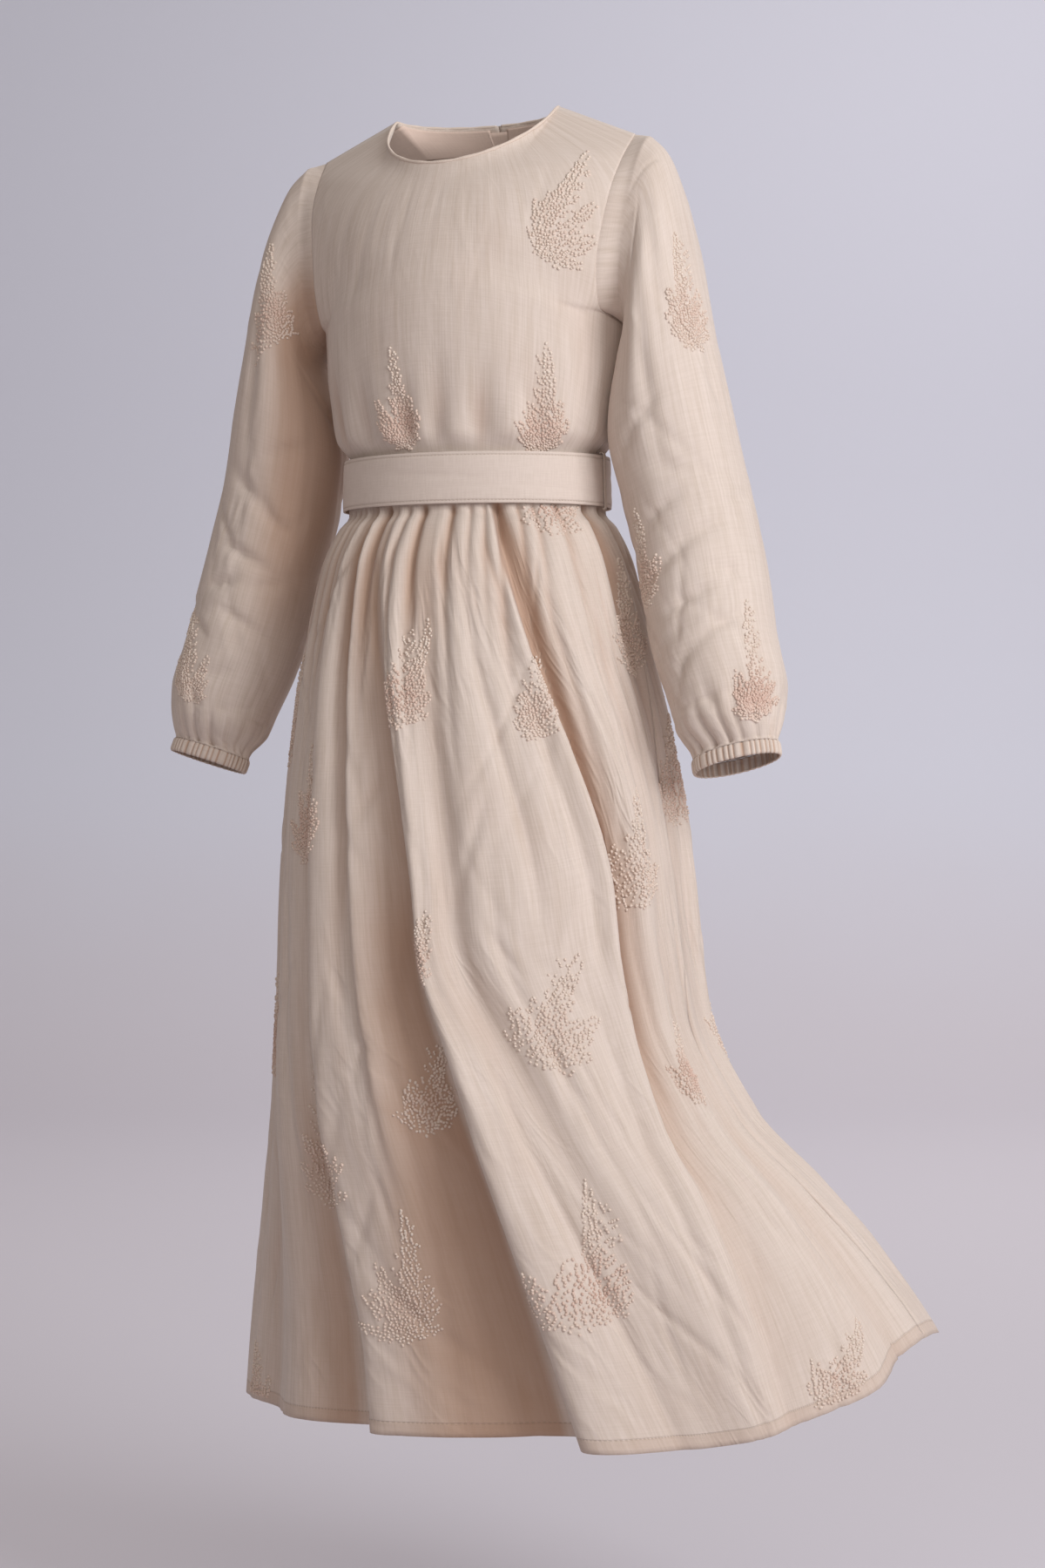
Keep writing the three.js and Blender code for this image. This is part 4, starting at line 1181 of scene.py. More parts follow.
@dataclass(frozen=True)
class GauzeFinish:
    """Matt double gauze with long slubs, a fine weave and painted brown shade in its folds."""

    name: str
    cloth: tuple[float, ...] = srgb(216, 199, 187)
    slub: tuple[float, ...] = srgb(192, 173, 156)
    # Brown of the painted shade in folds; the darker band of the turned-up hem leans a little towards it
    # too.
    painted_shade: tuple[float, ...] = srgb(172, 135, 110)
    hem: float = 0.0
    streaks: float = 0.8
    rumples: float = 0.7
    slub_grain: Pair = (560, 16)
    broad_grain: Pair = (150, 7)
    weft_grain: Pair = (26, 640)
    blotch_grain: Pair = (16, 9)
    sway_grain: Pair = (11, 8)
    rumple_grain: Pair = (48, 15)
    patch_grain: Pair = (7, 6)
    hem_dashes: float = 2100

    def material(self) -> Material:
        """Builds the material.

        Returns:
            The material.
        """
        recipe = Recipe(self.name)
        place = across, along = recipe.weave()
        slubs = recipe.grain(place, self.slub_grain, 0.0, 3, 0.65)
        broad = recipe.grain(place, self.broad_grain, 3.0)
        weft = recipe.grain(place, self.weft_grain, 7.0, 3, 0.6)
        blotch = recipe.grain(place, self.blotch_grain, 11.0)
        threads = slubs.step(0.34, 0.70) * 0.50 + broad.step(0.40, 0.70) * 0.26
        share = (threads + weft.step(0.3, 0.7) * 0.20) * self.streaks
        colour = recipe.blend(share, self.cloth, self.slub)
        # Painted shade: a number kept on the mesh, for how deep the cloth lies in a fold, browns the cloth
        # there; a random blotch adds a little of the same brown.
        shade_and_blotch = recipe.attribute("painted_shade").step(0.06, 0.80) * 0.74 + (blotch.step(0.45, 0.8) * 0.10)
        colour = recipe.blend(shade_and_blotch, colour, self.painted_shade)
        sway = recipe.grain(place, self.sway_grain, 17.0)
        slant = across + (along * 0.34) + sway * 0.05
        rumple = 1 - abs(recipe.grain((slant, along), self.rumple_grain, 23.0, 1) - 0.5) * 6
        patch = recipe.grain(place, self.patch_grain, 29.0, 1).step(0.42, 0.62)
        height = slubs * 0.50 + weft * 0.35 + broad * 0.15 + rumple.step(0.0, 1.0) * patch * self.rumples
        if self.hem:
            band = 1 - along.step(self.hem - 0.0006, self.hem + 0.0006)
            # The turned-up hem band is darkened a little towards the painted-shade brown.
            colour = recipe.blend(band * 0.22, colour, self.painted_shade)
            line = 1 - abs(along - self.hem).step(0.0003, 0.0013)
            dashes = (across * self.hem_dashes).sine().step(-0.5, 0.2)
            colour = recipe.blend(line * dashes * 0.35, colour, srgb(150, 126, 106))
            height = height - line * 1.2
        recipe.shade(
            Base_Color=colour,
            Roughness=0.92,
            Specular_IOR_Level=0.22,
            Sheen_Weight=0.16,
            Sheen_Roughness=0.5,
            Normal=recipe.bump(height, 0.0007, 0.55),
        )
        return recipe.material


@dataclass(frozen=True)
class SmoothFinish:
    """Pressed plain cloth or tape with a fine weave."""

    name: str
    cloth: tuple[float, ...]
    shade: tuple[float, ...]
    stitch_lines: tuple[float, ...] = ()
    streaks: float = 0.6
    warp_grain: Pair = (900, 60)
    weft_grain: Pair = (60, 900)
    broad_grain: Pair = (12, 40)

    def material(self) -> Material:
        """Builds the material.

        Returns:
            The material.
        """
        recipe = Recipe(self.name)
        place = _, along = recipe.weave()
        warp = recipe.grain(place, self.warp_grain, 0.0)
        weft = recipe.grain(place, self.weft_grain, 5.0)
        broad = recipe.grain(place, self.broad_grain, 9.0)
        share = (warp.step(0.3, 0.7) * 0.4 + weft.step(0.3, 0.7) * 0.3 + broad * 0.3) * self.streaks
        colour = recipe.blend(share, self.cloth, self.shade)
        height = warp * 0.4 + weft * 0.4
        for place in self.stitch_lines:
            line = 1 - abs(along - place).step(0.0002, 0.0012)
            colour = recipe.blend(line * 0.35, colour, self.shade)
            height = height - line * 1.6
        recipe.shade(
            Base_Color=colour,
            Roughness=0.88,
            Specular_IOR_Level=0.25,
            Sheen_Weight=0.1,
            Normal=recipe.bump(height, 0.0005, 0.5),
        )
        return recipe.material


@dataclass(frozen=True)
class ThreadFinish:
    """Soft lustrous thread whose colour drifts from cream to a dusty peach."""

    name: str
    cream: tuple[float, ...] = srgb(224, 208, 193)
    peach: tuple[float, ...] = srgb(207, 175, 158)
    dark: tuple[float, ...] = srgb(192, 168, 148)

    def material(self) -> Material:
        """Builds the material.

        Returns:
            The material.
        """
        recipe = Recipe(self.name)
        where = recipe.node("ShaderNodeTexCoord", {}, None, "Object")
        fleck = recipe.noise(where, 2, 0.6, 900.0)
        tint = recipe.attribute("tint")
        colour = recipe.blend(tint, self.cream, self.peach)
        colour = recipe.blend(fleck.step(0.45, 0.75) * 0.35, colour, self.dark)
        recipe.shade(
            Base_Color=colour,
            Roughness=0.62,
            Specular_IOR_Level=0.35,
            Sheen_Weight=0.1,
            Normal=recipe.bump(fleck, 0.0003, 0.5),
        )
        return recipe.material


@dataclass(frozen=True)
class MetalFinish:
    """Satin lacquered metal, a little rubbed."""

    name: str
    lacquer: tuple[float, ...] = srgb(196, 180, 160)
    rubbed: tuple[float, ...] = srgb(176, 168, 158)

    def material(self) -> Material:
        """Builds the material.

        Returns:
            The material.
        """
        recipe = Recipe(self.name)
        where = recipe.node("ShaderNodeTexCoord", {}, None, "Object")
        worn = recipe.noise(where, 3, 0.6, 420.0)
        recipe.shade(
            Base_Color=recipe.blend(worn.step(0.45, 0.7), self.lacquer, self.rubbed),
            Roughness=worn * 0.2 + 0.24,
            Metallic=0.85,
            Normal=recipe.bump(worn, 0.00008, 0.4),
        )
        return recipe.material


@dataclass(frozen=True)
class StageFinish:
    """Pale studio paper, a little darker along the floor."""

    name: str
    wall: tuple[float, ...] = srgb(218, 218, 228)
    floor: tuple[float, ...] = srgb(212, 206, 212)
    floor_z: float = -1.58

    def material(self) -> Material:
        """Builds the material.

        Returns:
            The material.
        """
        recipe = Recipe(self.name)
        where = recipe.node("ShaderNodeTexCoord", {}, None, "Object")
        height = Signal(recipe, recipe.node("ShaderNodeSeparateXYZ", {}, {0: where}).socket.node.outputs[2])
        cloud = recipe.noise(where, 3, 0.5, 1.3)
        high = (height + (cloud - 0.5) * 0.2).step(self.floor_z, self.floor_z + 0.9)
        recipe.shade(
            Base_Color=recipe.blend(high, self.floor, self.wall),
            Roughness=0.95,
            Specular_IOR_Level=0.1,
        )
        return recipe.material


def add_object(name: str, data: bpy.types.ID) -> Piece:
    """Puts a mesh, lamp or camera into the scene.

    Args:
        name: Its name.
        data: The mesh, lamp or camera.

    Returns:
        The object.
    """
    thing = bpy.data.objects.new(name, data)
    bpy.context.collection.objects.link(thing)
    return thing


@dataclass
class ClothGrid:
    """A sheet of cloth made from a grid whose corners are placed by a function of two shares."""

    name: str
    columns: int
    rows: int
    place: Place
    weave: Place
    # Share of painted shade at each corner, kept on the mesh for the finish.
    painted_shade: Place | None = None
    wraps: bool = False
    thickness: float = CLOTH

    def build(self) -> Piece:
        """Makes the sheet with its weave map, then gives it its thickness inwards.

        Returns:
            The piece.
        """
        form = bmesh.new()
        bmesh.ops.create_grid(form, x_segments=self.columns, y_segments=self.rows, size=0.5)
        form.verts.ensure_lookup_table()
        share = np.array([v.co[:2] for v in form.verts]) + 0.5
        across, down = share[:, 0], share[:, 1]
        points = self.place(across, down)
        weave = self.weave(across, down)
        layer = form.loops.layers.uv.new("weave")
        # Painted shade: a number for each corner, which the finish turns into a darker brown.
        shade_layer = form.verts.layers.float.new("painted_shade")
        sunk = self.painted_shade(across, down) if self.painted_shade else np.zeros_like(across)
        for vert, where, deep in zip(form.verts, points, sunk, strict=True):
            vert.co = where
            vert[shade_layer] = deep
        for face in form.faces:
            face.smooth = True
            for loop in face.loops:
                loop[layer].uv = weave[loop.vert.index]
        if self.wraps:
            bmesh.ops.remove_doubles(form, verts=form.verts, dist=1e-6)
        self._face_out(form)
        mesh = bpy.data.meshes.new(f"{self.name}_cloth")
        form.to_mesh(mesh)
        form.free()
        piece = add_object(mesh.name, mesh)
        wall = piece.modifiers.new("wall", "SOLIDIFY")
        wall.thickness = self.thickness
        wall.offset = -1
        return piece

    def _face_out(self, form: bmesh.types.BMesh) -> None:
        """Turns the sheet so that its normals point away from the wearer.

        Args:
            form: The sheet.
        """
        form.normal_update()
        middle = sum((f.calc_center_median() for f in form.faces), Vector()) / len(form.faces)
        axis = Vector((0, 0, 0)) if not self.wraps else middle
        facing = 0.0
        for face in form.faces:
            away = face.calc_center_median() - axis
            facing += face.normal.x * away.x + face.normal.y * away.y
        if facing < 0:
            bmesh.ops.reverse_faces(form, faces=form.faces)


def even_weave(width: float, height: float, shift: float) -> Place:
    """Weave map of a plain rectangle, moved aside so that no two pieces share their threads.

    Args:
        width: Its width.
        height: Its height.
        shift: How far it is moved.

    Returns:
        The map.
    """

    def weave(across: Array, along: Array) -> Array:
        """Place across the rectangle and along it."""
        return np.stack([across * width + shift, along * height], 1)

    return weave


def dress_piece(piece: Piece, material: Material, slot: str, *nodes: str) -> None:
    """Gives a piece its finish, ties it to the dress and lets it stand for its solids.

    Args:
        piece: The piece.
        material: Its finish.
        slot: Not used.
        nodes: The solids it stands for.
    """
    piece.data.materials.append(material)
    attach(piece, "dress")
    if nodes:
        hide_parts(*nodes)


@dataclass
class Skirt:
    """The gathered skirt: a front panel and two back panels."""

    columns: int = 236
    rows: int = 178
    gap: float = 0.03
    cut_waist: float = 0.60
    cut_hem: float = 1.12
    cut_length: float = 0.95
    turn_up: float = 0.013
    shade_depth: Pair = (0.013, 0.045)
    close_rows: Pair = (0.12, 0.09)

    def panel(self, name: str, start: float, end: float, finish: Material) -> Piece:
        """One panel between two seam angles.

        Args:
            name: Its name.
            start: First angle.
            end: Last angle.
            finish: Its material.

        Returns:
            The piece.
        """
        start, end = start + self.gap, end - self.gap

        def place(across: Array, down: Array) -> Array:
            """Points of the panel."""
            return SKIRT.point(mix(start, end, across), self.rows_down(down))

        def weave(across: Array, down: Array) -> Array:
            """Place across by what the cloth hangs from, and height above the hem.

            Args:
                across: Places across the piece.
                down: Places down the piece.

            Returns:
                The two places.
            """
            v = self.rows_down(down)
            hung = SKIRT.flow(mix(start, end, across), v)
            return np.stack([hung / 360 * SKIRT.waist_girth, (1 - v) * SKIRT.drop], 1)

        def painted_shade(across: Array, down: Array) -> Array:
            """Painted shade: how deep in a fold the cloth lies.

            Args:
                across: Places across the piece.
                down: Places down the piece.

            Returns:
                The share of painted shade at each place.
            """
            angle, v = mix(start, end, across), self.rows_down(down)
            # The painted shade is read a little further round, so it spreads towards the wearer's right
            # beside the deepest front fold.
            aside = 5 * smooth(v, 0.3, 0.6) * (1 - smooth(angle, 15, 30)) * smooth(angle, -60, -40)
            depth, _ = SKIRT.inward(angle + aside, v)
            return np.clip(depth / mix(*self.shade_depth, smooth(v, 0.08, 0.4)), 0, 1)

        share = (end - start) / 180
        grid = ClothGrid(name, round(self.columns * share), self.rows, place, weave, painted_shade)
        piece = grid.build()
        dress_piece(piece, finish, "gauze", name)
        return piece

    def rows_down(self, down: Array) -> Array:
        """Rows of the grid, closer together where the gathers leave the belt."""
        share, v = self.close_rows
        return np.where(down < share, down * v / share, v + (down - share) * (1 - v) / (1 - share))

    def build(self) -> list[Piece]:
        """Builds the three panels.

        Returns:
            The pieces.
        """
        finish = GauzeFinish("gauze_skirt", hem=self.turn_up, rumples=1.35).material()
        return [
            self.panel("skirt_front", -90, 90, finish),
            self.panel("skirt_back_left", 90, 180, finish),
            self.panel("skirt_back_right", -180, -90, finish),
        ]


@dataclass
class Bodice:
    """The bodice: one front panel and two back panels closed by the zip."""

    columns: int = 148
    rows: int = 104
    gap: float = 0.03
    cut_size: Pair = (0.46, 0.40)
    cut_area: float = 0.155

    def panel(self, name: str, start: float, end: float, finish: Material) -> Piece:
        """One panel between two seam angles.

        Args:
            name: Its name.
            start: First angle.
            end: Last angle.
            finish: Its material.

        Returns:
            The piece.
        """

        def place(across: Array, up: Array) -> Array:
            """Points of the panel."""
            return BODICE.point(mix(start, end, across), up)

        def weave(across: Array, up: Array) -> Array:
            """Place round the body and height, less where the shoulder leans over."""
            x, y, z = BODICE.point(mix(start, end, across), up).T
            return np.stack([BODICE.around(x, y) + 5, z + 0.5 - 0.6 * np.abs(y)], 1)

        def painted_shade(across: Array, up: Array) -> Array:
            """Painted shade: how deep in a drape the cloth lies."""
            angle, row = mix(start, end, across), up * 10
            return np.clip(BODICE.drapes(angle, row) / 0.012, 0, 0.5)

        share = (end - start) / 180
        piece = ClothGrid(name, round(self.columns * share), self.rows, place, weave, painted_shade).build()
        dress_piece(piece, finish, "gauze", name)
        return piece

    def build(self) -> list[Piece]:
        """Builds the front panel and the two back panels.

        Returns:
            The pieces.
        """
        finish = GauzeFinish("gauze_bodice", rumples=0.25).material()
        return [
            self.panel("bodice_front", -90 + self.gap, 90 - self.gap, finish),
            self.panel("bodice_back_left", 90.001 + self.gap, 180 - self.gap, finish),
            self.panel("bodice_back_right", -180 + self.gap, -90.001 - self.gap, finish),
        ]


@dataclass
class Sleeves:
    """The two long sleeves and their elastic cuff bands."""

    columns: int = 126
    rows: int = 160
    weave_width: float = 0.38
    cuff_weave_width: float = 0.30
    cuff_ribs: int = 42
    rib_columns: int = 9
    cuff_wall: float = 0.0014
    cuff_height: float = 0.014
    rib_height: float = 0.0019
    # Strength of the painted shade under each arm.
    underarm_shade: dict[Side, float] = field(default_factory=lambda: {Side.LEFT: 0.25, Side.RIGHT: 1.0})

    def sleeve(self, form: SleeveForm, finish: Material) -> Piece:
        """One sleeve.

        Args:
            form: The sleeve's shape.
            finish: Its material.

        Returns:
            The piece.
        """
        name = f"sleeve_{form.side.value}"

        def place(across: Array, down: Array) -> Array:
            """Points of the sleeve."""
            return form.point(360 * (across % 1), down)

        def painted_shade(across: Array, down: Array) -> Array:
            """Painted shade under the arm, where the body keeps light off the cloth; strongest on the
            wearer's right sleeve.
            """
            turned = 360 * (across % 1)
            return self.underarm_shade[form.side] * bell((turned - 146) / 48) * (1 - smooth(down, 0.45, 0.85))

        weave = even_weave(self.weave_width, 0.60, 9 + form.side.sign)
        piece = ClothGrid(name, self.columns, self.rows, place, weave, painted_shade, wraps=True).build()
        dress_piece(piece, finish, "gauze", name)
        return piece

    def cuff(self, form: SleeveForm, finish: Material) -> Piece:
        """One ribbed cuff band, with puckers of uneven width.

        Args:
            form: The sleeve's shape.
            finish: Its material.

        Returns:
            The piece.
        """
        name = f"cuff_{form.side.value}"

        def rib(across: Array) -> Array:
            """Height of the ribs round the band.

            Args:
                across: Places across the piece.

            Returns:
                The height at each place.
            """
            wander = 0.22 * np.sin(across * 2 * np.pi * 7 + 1) + 0.15 * np.sin(across * 2 * np.pi * 13)
            wave = np.abs(np.sin(np.pi * (across * self.cuff_ribs + wander)))
            return np.power(wave, 0.6)

        def place(across: Array, down: Array) -> Array:
            """Points of the band, rolled in a little at both edges.

            Args:
                across: Places across the piece.
                down: Places down the piece.

            Returns:
                A point for each place.
            """
            edge = 1 - np.power(np.abs(2 * down - 1), 6)
            grow = self.rib_height * rib(across) * (0.35 + 0.65 * edge) - 0.0004 * (1 - edge)
            sag = 0.0007 * rib(across) * (2 * down - 1)
            height = mix(SEAM_GAP, self.cuff_height, down) + sag * 0.8
            return form.cuff_point(360 * (across % 1), height, grow)

        def painted_shade(across: Array, down: Array) -> Array:
            """Painted shade between the ribs."""
            return np.clip(1.1 - 1.3 * rib(across), 0, 1)

        columns = self.cuff_ribs * self.rib_columns
        weave = even_weave(self.cuff_weave_width, self.cuff_height, 14)
        grid = ClothGrid(name, columns, 8, place, weave, painted_shade, wraps=True, thickness=self.cuff_wall)
        piece = grid.build()
        dress_piece(piece, finish, "gauze", name)
        return piece

    def build(self) -> list[Piece]:
        """Builds both sleeves and both cuffs.

        Returns:
            The pieces.
        """
        finish = GauzeFinish("gauze_sleeve", rumples=0.7, streaks=0.8).material()
        band = GauzeFinish("gauze_cuff", streaks=0.9).material()
        pieces = []
        for side in Side:
            form = SleeveForm(side, BODICE)
            pieces += [self.sleeve(form, finish), self.cuff(form, band)]
        return pieces


@dataclass
class Belt:
    """The plain belt, its edge stitching and the loops at the side seams."""

    thickness: float = 0.0024
    stand_off: float = 0.0036
    widening: float = 0.0014
    lap: Pair = (172, 200)
    grid: tuple[int, int] = (232, 34)
    stitch_inset: float = 0.0032
    stitch_pitch: float = 0.0034
    stitch: Triple = (0.0013, 0.00042, 0.00034)
    stitched_girth: float = 0.77
    edge_roll: float = 0.0007
    groove: float = 0.00045
    wrinkles: Pair = (0.0006, 0.0005)
    loop_width: float = 0.005
    loop_reach: float = 0.0034
    loop_wall: float = 0.0012

    def point(self, angle: Array, z: Array, out: Array) -> Array:
        """Points round the waist at a height, moved out from the belt's inner side.

        Args:
            angle: Angles round the body.
            z: Heights.
            out: How far outwards.

        Returns:
            A point for each place.
        """
        grow = self.stand_off + self.widening * (BELT_TOP_Z - z) / BELT_HEIGHT + out
        turned = np.radians(angle)
        width, depth = WAIST_HALF[0] + grow, WAIST_HALF[1] + grow
        return np.stack([width * np.sin(turned), -depth * np.cos(turned), z + HOLD], 1)

    def outer(self, angle: Array, z: Array) -> Array:
        """Points of the belt's outer side: a soft roll at the edges and a little sway.

        Args:
            angle: Angles round the body.
            z: Heights.

        Returns:
            A point for each place.
        """
        share = (BELT_TOP_Z - z) / BELT_HEIGHT
        start, end = self.lap
        lapped = smooth(angle, start - 1, start) * (1 - smooth(angle, end, end + 1))
        edge = np.power(np.abs(2 * share - 1), 10)
        inset = np.minimum(share, 1 - share) * BELT_HEIGHT
        groove = bell((inset - self.stitch_inset) / 0.0009)
        sway = 0.0003 * np.sin(np.radians(angle * 5)) * np.sin(np.pi * share * 1.5)
        turned = np.radians(angle)
        upper = bell((share - 0.44 - 0.08 * np.sin(2 * turned)) / 0.07)
        upper *= 0.5 + 0.5 * np.sin(3 * turned + 1)
        lower = bell((share - 0.70 + 0.06 * np.sin(3 * turned)) / 0.06)
        lower *= 0.5 + 0.5 * np.sin(2 * turned - 0.5)
        sway -= self.wrinkles[0] * upper + self.wrinkles[1] * lower
        out = self.thickness * (1 + lapped) - self.edge_roll * edge - self.groove * groove + sway
        return self.point(angle, z, out)

    def band(self, finish: Material) -> Piece:
        """The band.

        Args:
            finish: Its material.

        Returns:
            The piece.
        """

        def place(across: Array, up: Array) -> Array:
            """Points of the band."""
            z = BELT_TOP_Z - BELT_HEIGHT * (1 - up)
            return self.outer(360 * (across % 1), z)

        weave = even_weave(0.78, BELT_HEIGHT, 20)
        grid = ClothGrid("belt", *self.grid, place, weave, wraps=True, thickness=self.thickness)
        piece = grid.build()
        dress_piece(piece, finish, "belt_cloth", "belt")
        return piece

    def stitches(self, finish: Material) -> Piece:
        """Edge stitching: short threads along both edges, joined in one mesh.

        Args:
            finish: Its material.

        Returns:
            The piece.
        """
        count = int(self.stitched_girth / self.stitch_pitch)
        angle = np.tile((np.arange(count) + 0.5) * 360 / count, 2)
        z = np.repeat([BELT_TOP_Z - self.stitch_inset, BELT_TOP_Z - BELT_HEIGHT + self.stitch_inset], count)
        here = self.outer(angle, z)
        ahead = self.outer(angle + 0.5, z)
        out = self.point(angle, z, np.full_like(angle, 0.01)) - self.point(angle, z, np.zeros_like(angle))
        beads = Beads("belt_stitches", self.stitch)
        piece = beads.build(here + out / 0.01 * 0.00005, ahead - here, out, np.full(angle.size, 0.3))
        dress_piece(piece, finish, "belt_cloth")
        return piece

    def loop(self, side: Side, finish: Material) -> Piece:
        """A narrow strap over the belt, its ends turned in towards the dress.

        Args:
            side: The side of the wearer.
            finish: Its material.

        Returns:
            The piece.
        """
        name = f"belt_loop_{side.value}"
        over, under = BELT_TOP_Z + self.loop_reach, BELT_TOP_Z - BELT_HEIGHT - self.loop_reach
        path = Table(
            ("share", "z", "out"),
            [
                (0.0, over - 0.0014, -0.0012),
                (0.06, over, 0.0008),
                (0.12, over - 0.0010, 0.0034),
                (0.2, BELT_TOP_Z - 0.002, 0.0042),
                (0.8, BELT_TOP_Z - BELT_HEIGHT + 0.002, 0.0042),
                (0.88, under + 0.0010, 0.0036),
                (0.94, under, 0.0018),
                (1.0, under + 0.0014, 0.0012),
            ],
        )

        def place(across: Array, down: Array) -> Array:
            """Points of the strap, crowned a little across.

            Args:
                across: Places across the piece.
                down: Places down the piece.

            Returns:
                A point for each place.
            """
            z = path.read("share", "z", down)
            crown = 0.0005 * (1 - np.square(2 * across - 1))
            points = self.point(np.full_like(z, 90.0), z, path.read("share", "out", down) + crown)
            points[:, 1] = (across - 0.5) * self.loop_width
            return points * [side.sign, 1, 1]

        weave = even_weave(self.loop_width, 0.06, 30)
        piece = ClothGrid(name, 8, 60, place, weave, thickness=self.loop_wall).build()
        dress_piece(piece, finish, "gauze", name)
        return piece

    def build(self) -> list[Piece]:
        """Builds the belt, its stitching and its loops.

        Returns:
            The pieces.
        """
        stitched = (self.stitch_inset, BELT_HEIGHT - self.stitch_inset)
        cloth = SmoothFinish("belt_cloth", srgb(217, 200, 188), srgb(196, 177, 163), stitched).material()
        strap = SmoothFinish("loop_cloth", srgb(204, 187, 173), srgb(184, 165, 150)).material()
        thread = ThreadFinish("belt_thread", srgb(196, 178, 163), srgb(176, 156, 140)).material()
        pieces = [self.band(cloth), self.stitches(thread)]
        return pieces + [self.loop(side, strap) for side in Side]


@dataclass(frozen=True)
class Beads:
    """Many small rounded grains of thread, joined in one mesh."""

    name: str
    size: Triple

    def build(
        self, where: Array, along: Array, out: Array, tint: Array, scale: Array | None = None
    ) -> Piece:
        """Sets a grain at each place.

        Args:
            where: Middle of each grain.
            along: Direction of its length.
            out: Direction away from the cloth.
            tint: Colour number of each grain.
            scale: Size of each grain beside the others.

        Returns:
            The joined piece.
        """
        form = bmesh.new()
        bmesh.ops.create_icosphere(form, subdivisions=1, radius=1)
        sewn_in = [v for v in form.verts if v.co.z < -0.9]
        bmesh.ops.delete(form, geom=sewn_in, context="VERTS")
        form.verts.ensure_lookup_table()
        form.verts.index_update()
        ball = np.array([v.co[:] for v in form.verts])
        faces = np.array([[v.index for v in f.verts] for f in form.faces])
        form.free()
        out = unit(out)
        along = unit(along - out * (along * out).sum(1, keepdims=True))
        beside = np.cross(out, along)
        size = np.ones(len(where)) if scale is None else scale
        corner = ball * self.size
        points = where[:, None] + size[:, None, None] * (
            corner[None, :, :1] * along[:, None]
            + corner[None, :, 1:2] * beside[:, None]
            + corner[None, :, 2:] * out[:, None]
        )
        index = faces[None] + (np.arange(len(where)) * len(ball))[:, None, None]
        mesh = bpy.data.meshes.new(self.name)
        mesh.from_pydata(points.reshape(-1, 3), [], index.reshape(-1, 3).tolist())
        mesh.shade_smooth()
        mesh.attributes.new("tint", "FLOAT", "POINT").data.foreach_set("value", np.repeat(tint, len(ball)))
        piece = add_object(self.name, mesh)
        return piece


@dataclass(frozen=True)
class Sprig:
    """One embroidered sprig: a stem with side shoots, each filled with grains of thread."""

    height: float
    width: float
    tilt: float
    seed: int
    pitch: float = 0.0024
    least_gap_squared: float = 3.6e-6

    shoots = Table(
        ("root", "lean", "length", "girth"),
        [
            (0.0, 3, 1.0, 0.012),
            (0.02, -22, 0.52, 0.012),
            (0.02, 25, 0.46, 0.012),
            (0.01, -46, 0.38, 0.011),
            (0.01, 50, 0.36, 0.011),
            (0.0, -78, 0.24, 0.01),
            (0.0, 82, 0.22, 0.01),
            (0.12, -48, 0.3, 0.0075),
            (0.16, 44, 0.28, 0.0075),
            (0.28, -50, 0.17, 0.006),
            (0.34, 46, 0.19, 0.006),
            (0.43, -46, 0.13, 0.0055),
            (0.5, 48, 0.14, 0.0055),
            (0.58, -48, 0.11, 0.005),
            (0.66, 46, 0.11, 0.005),
            (0.74, -46, 0.09, 0.0045),
            (0.83, 44, 0.08, 0.0045),
            (0.0, 150, 0.11, 0.007),
            (0.0, -146, 0.13, 0.007),
            (0.0, 178, 0.1, 0.007),
        ],
    )

    def grains(self) -> tuple[Array, Array, Array, Array]:
        """Sets out the grains.

        Returns:
            Place across and up from the sprig's middle, heading in degrees, and tint of each grain.
        """
        dice = np.random.default_rng(self.seed)
        flip = 1 if self.seed % 2 else -1
        found: list[Triple] = []
        for shoot in self.shoots.rows():
            lean = flip * shoot["lean"] + dice.normal(0, 5)
            length = self.height * shoot["length"] * dice.uniform(0.86, 1.12)
            x, y = flip * 0.03 * self.height * shoot["root"], shoot["root"] * self.height
            for step in range(max(2, round(length / self.pitch))):
                share = step * self.pitch / length
                heading = lean * (1 - 0.38 * share) + 5 * math.sin(4 * share + self.seed)
                x += self.pitch * math.sin(math.radians(heading))
                y += self.pitch * math.cos(math.radians(heading))
                half = shoot["girth"] / 2 * math.sqrt(max(0.0, 1 - share**1.6)) * dice.uniform(0.75, 1.2)
                for aside in np.linspace(-half, half, max(1, round(2 * half / self.pitch))):
                    turned = math.radians(heading)
                    sway = dice.normal(0, 0.0005, 2)
                    here = x + aside * math.cos(turned) + sway[0], y - aside * math.sin(turned) + sway[1]
                    gaps = ((here[0] - f[0]) ** 2 + (here[1] - f[1]) ** 2 for f in found)
                    if all(gap > self.least_gap_squared for gap in gaps):
                        found.append((*here, heading + dice.normal(0, 34)))
        across, up, heading = np.array(found).T
        across = across * self.width / np.ptp(across)
        low = np.hypot(across, (up - 0.25 * self.height)) / (0.3 * self.height)
        tint = dice.uniform(0.2, 0.9) * bell(low) + dice.uniform(0, 0.35, across.size)
        up = up - (up.max() + up.min()) / 2
        lean = math.radians(self.tilt)
        cosine, sine = math.cos(lean), math.sin(lean)
        across, up = across * cosine + up * sine, up * cosine - across * sine
        return across, up, heading + self.tilt, np.clip(tint, 0, 1)


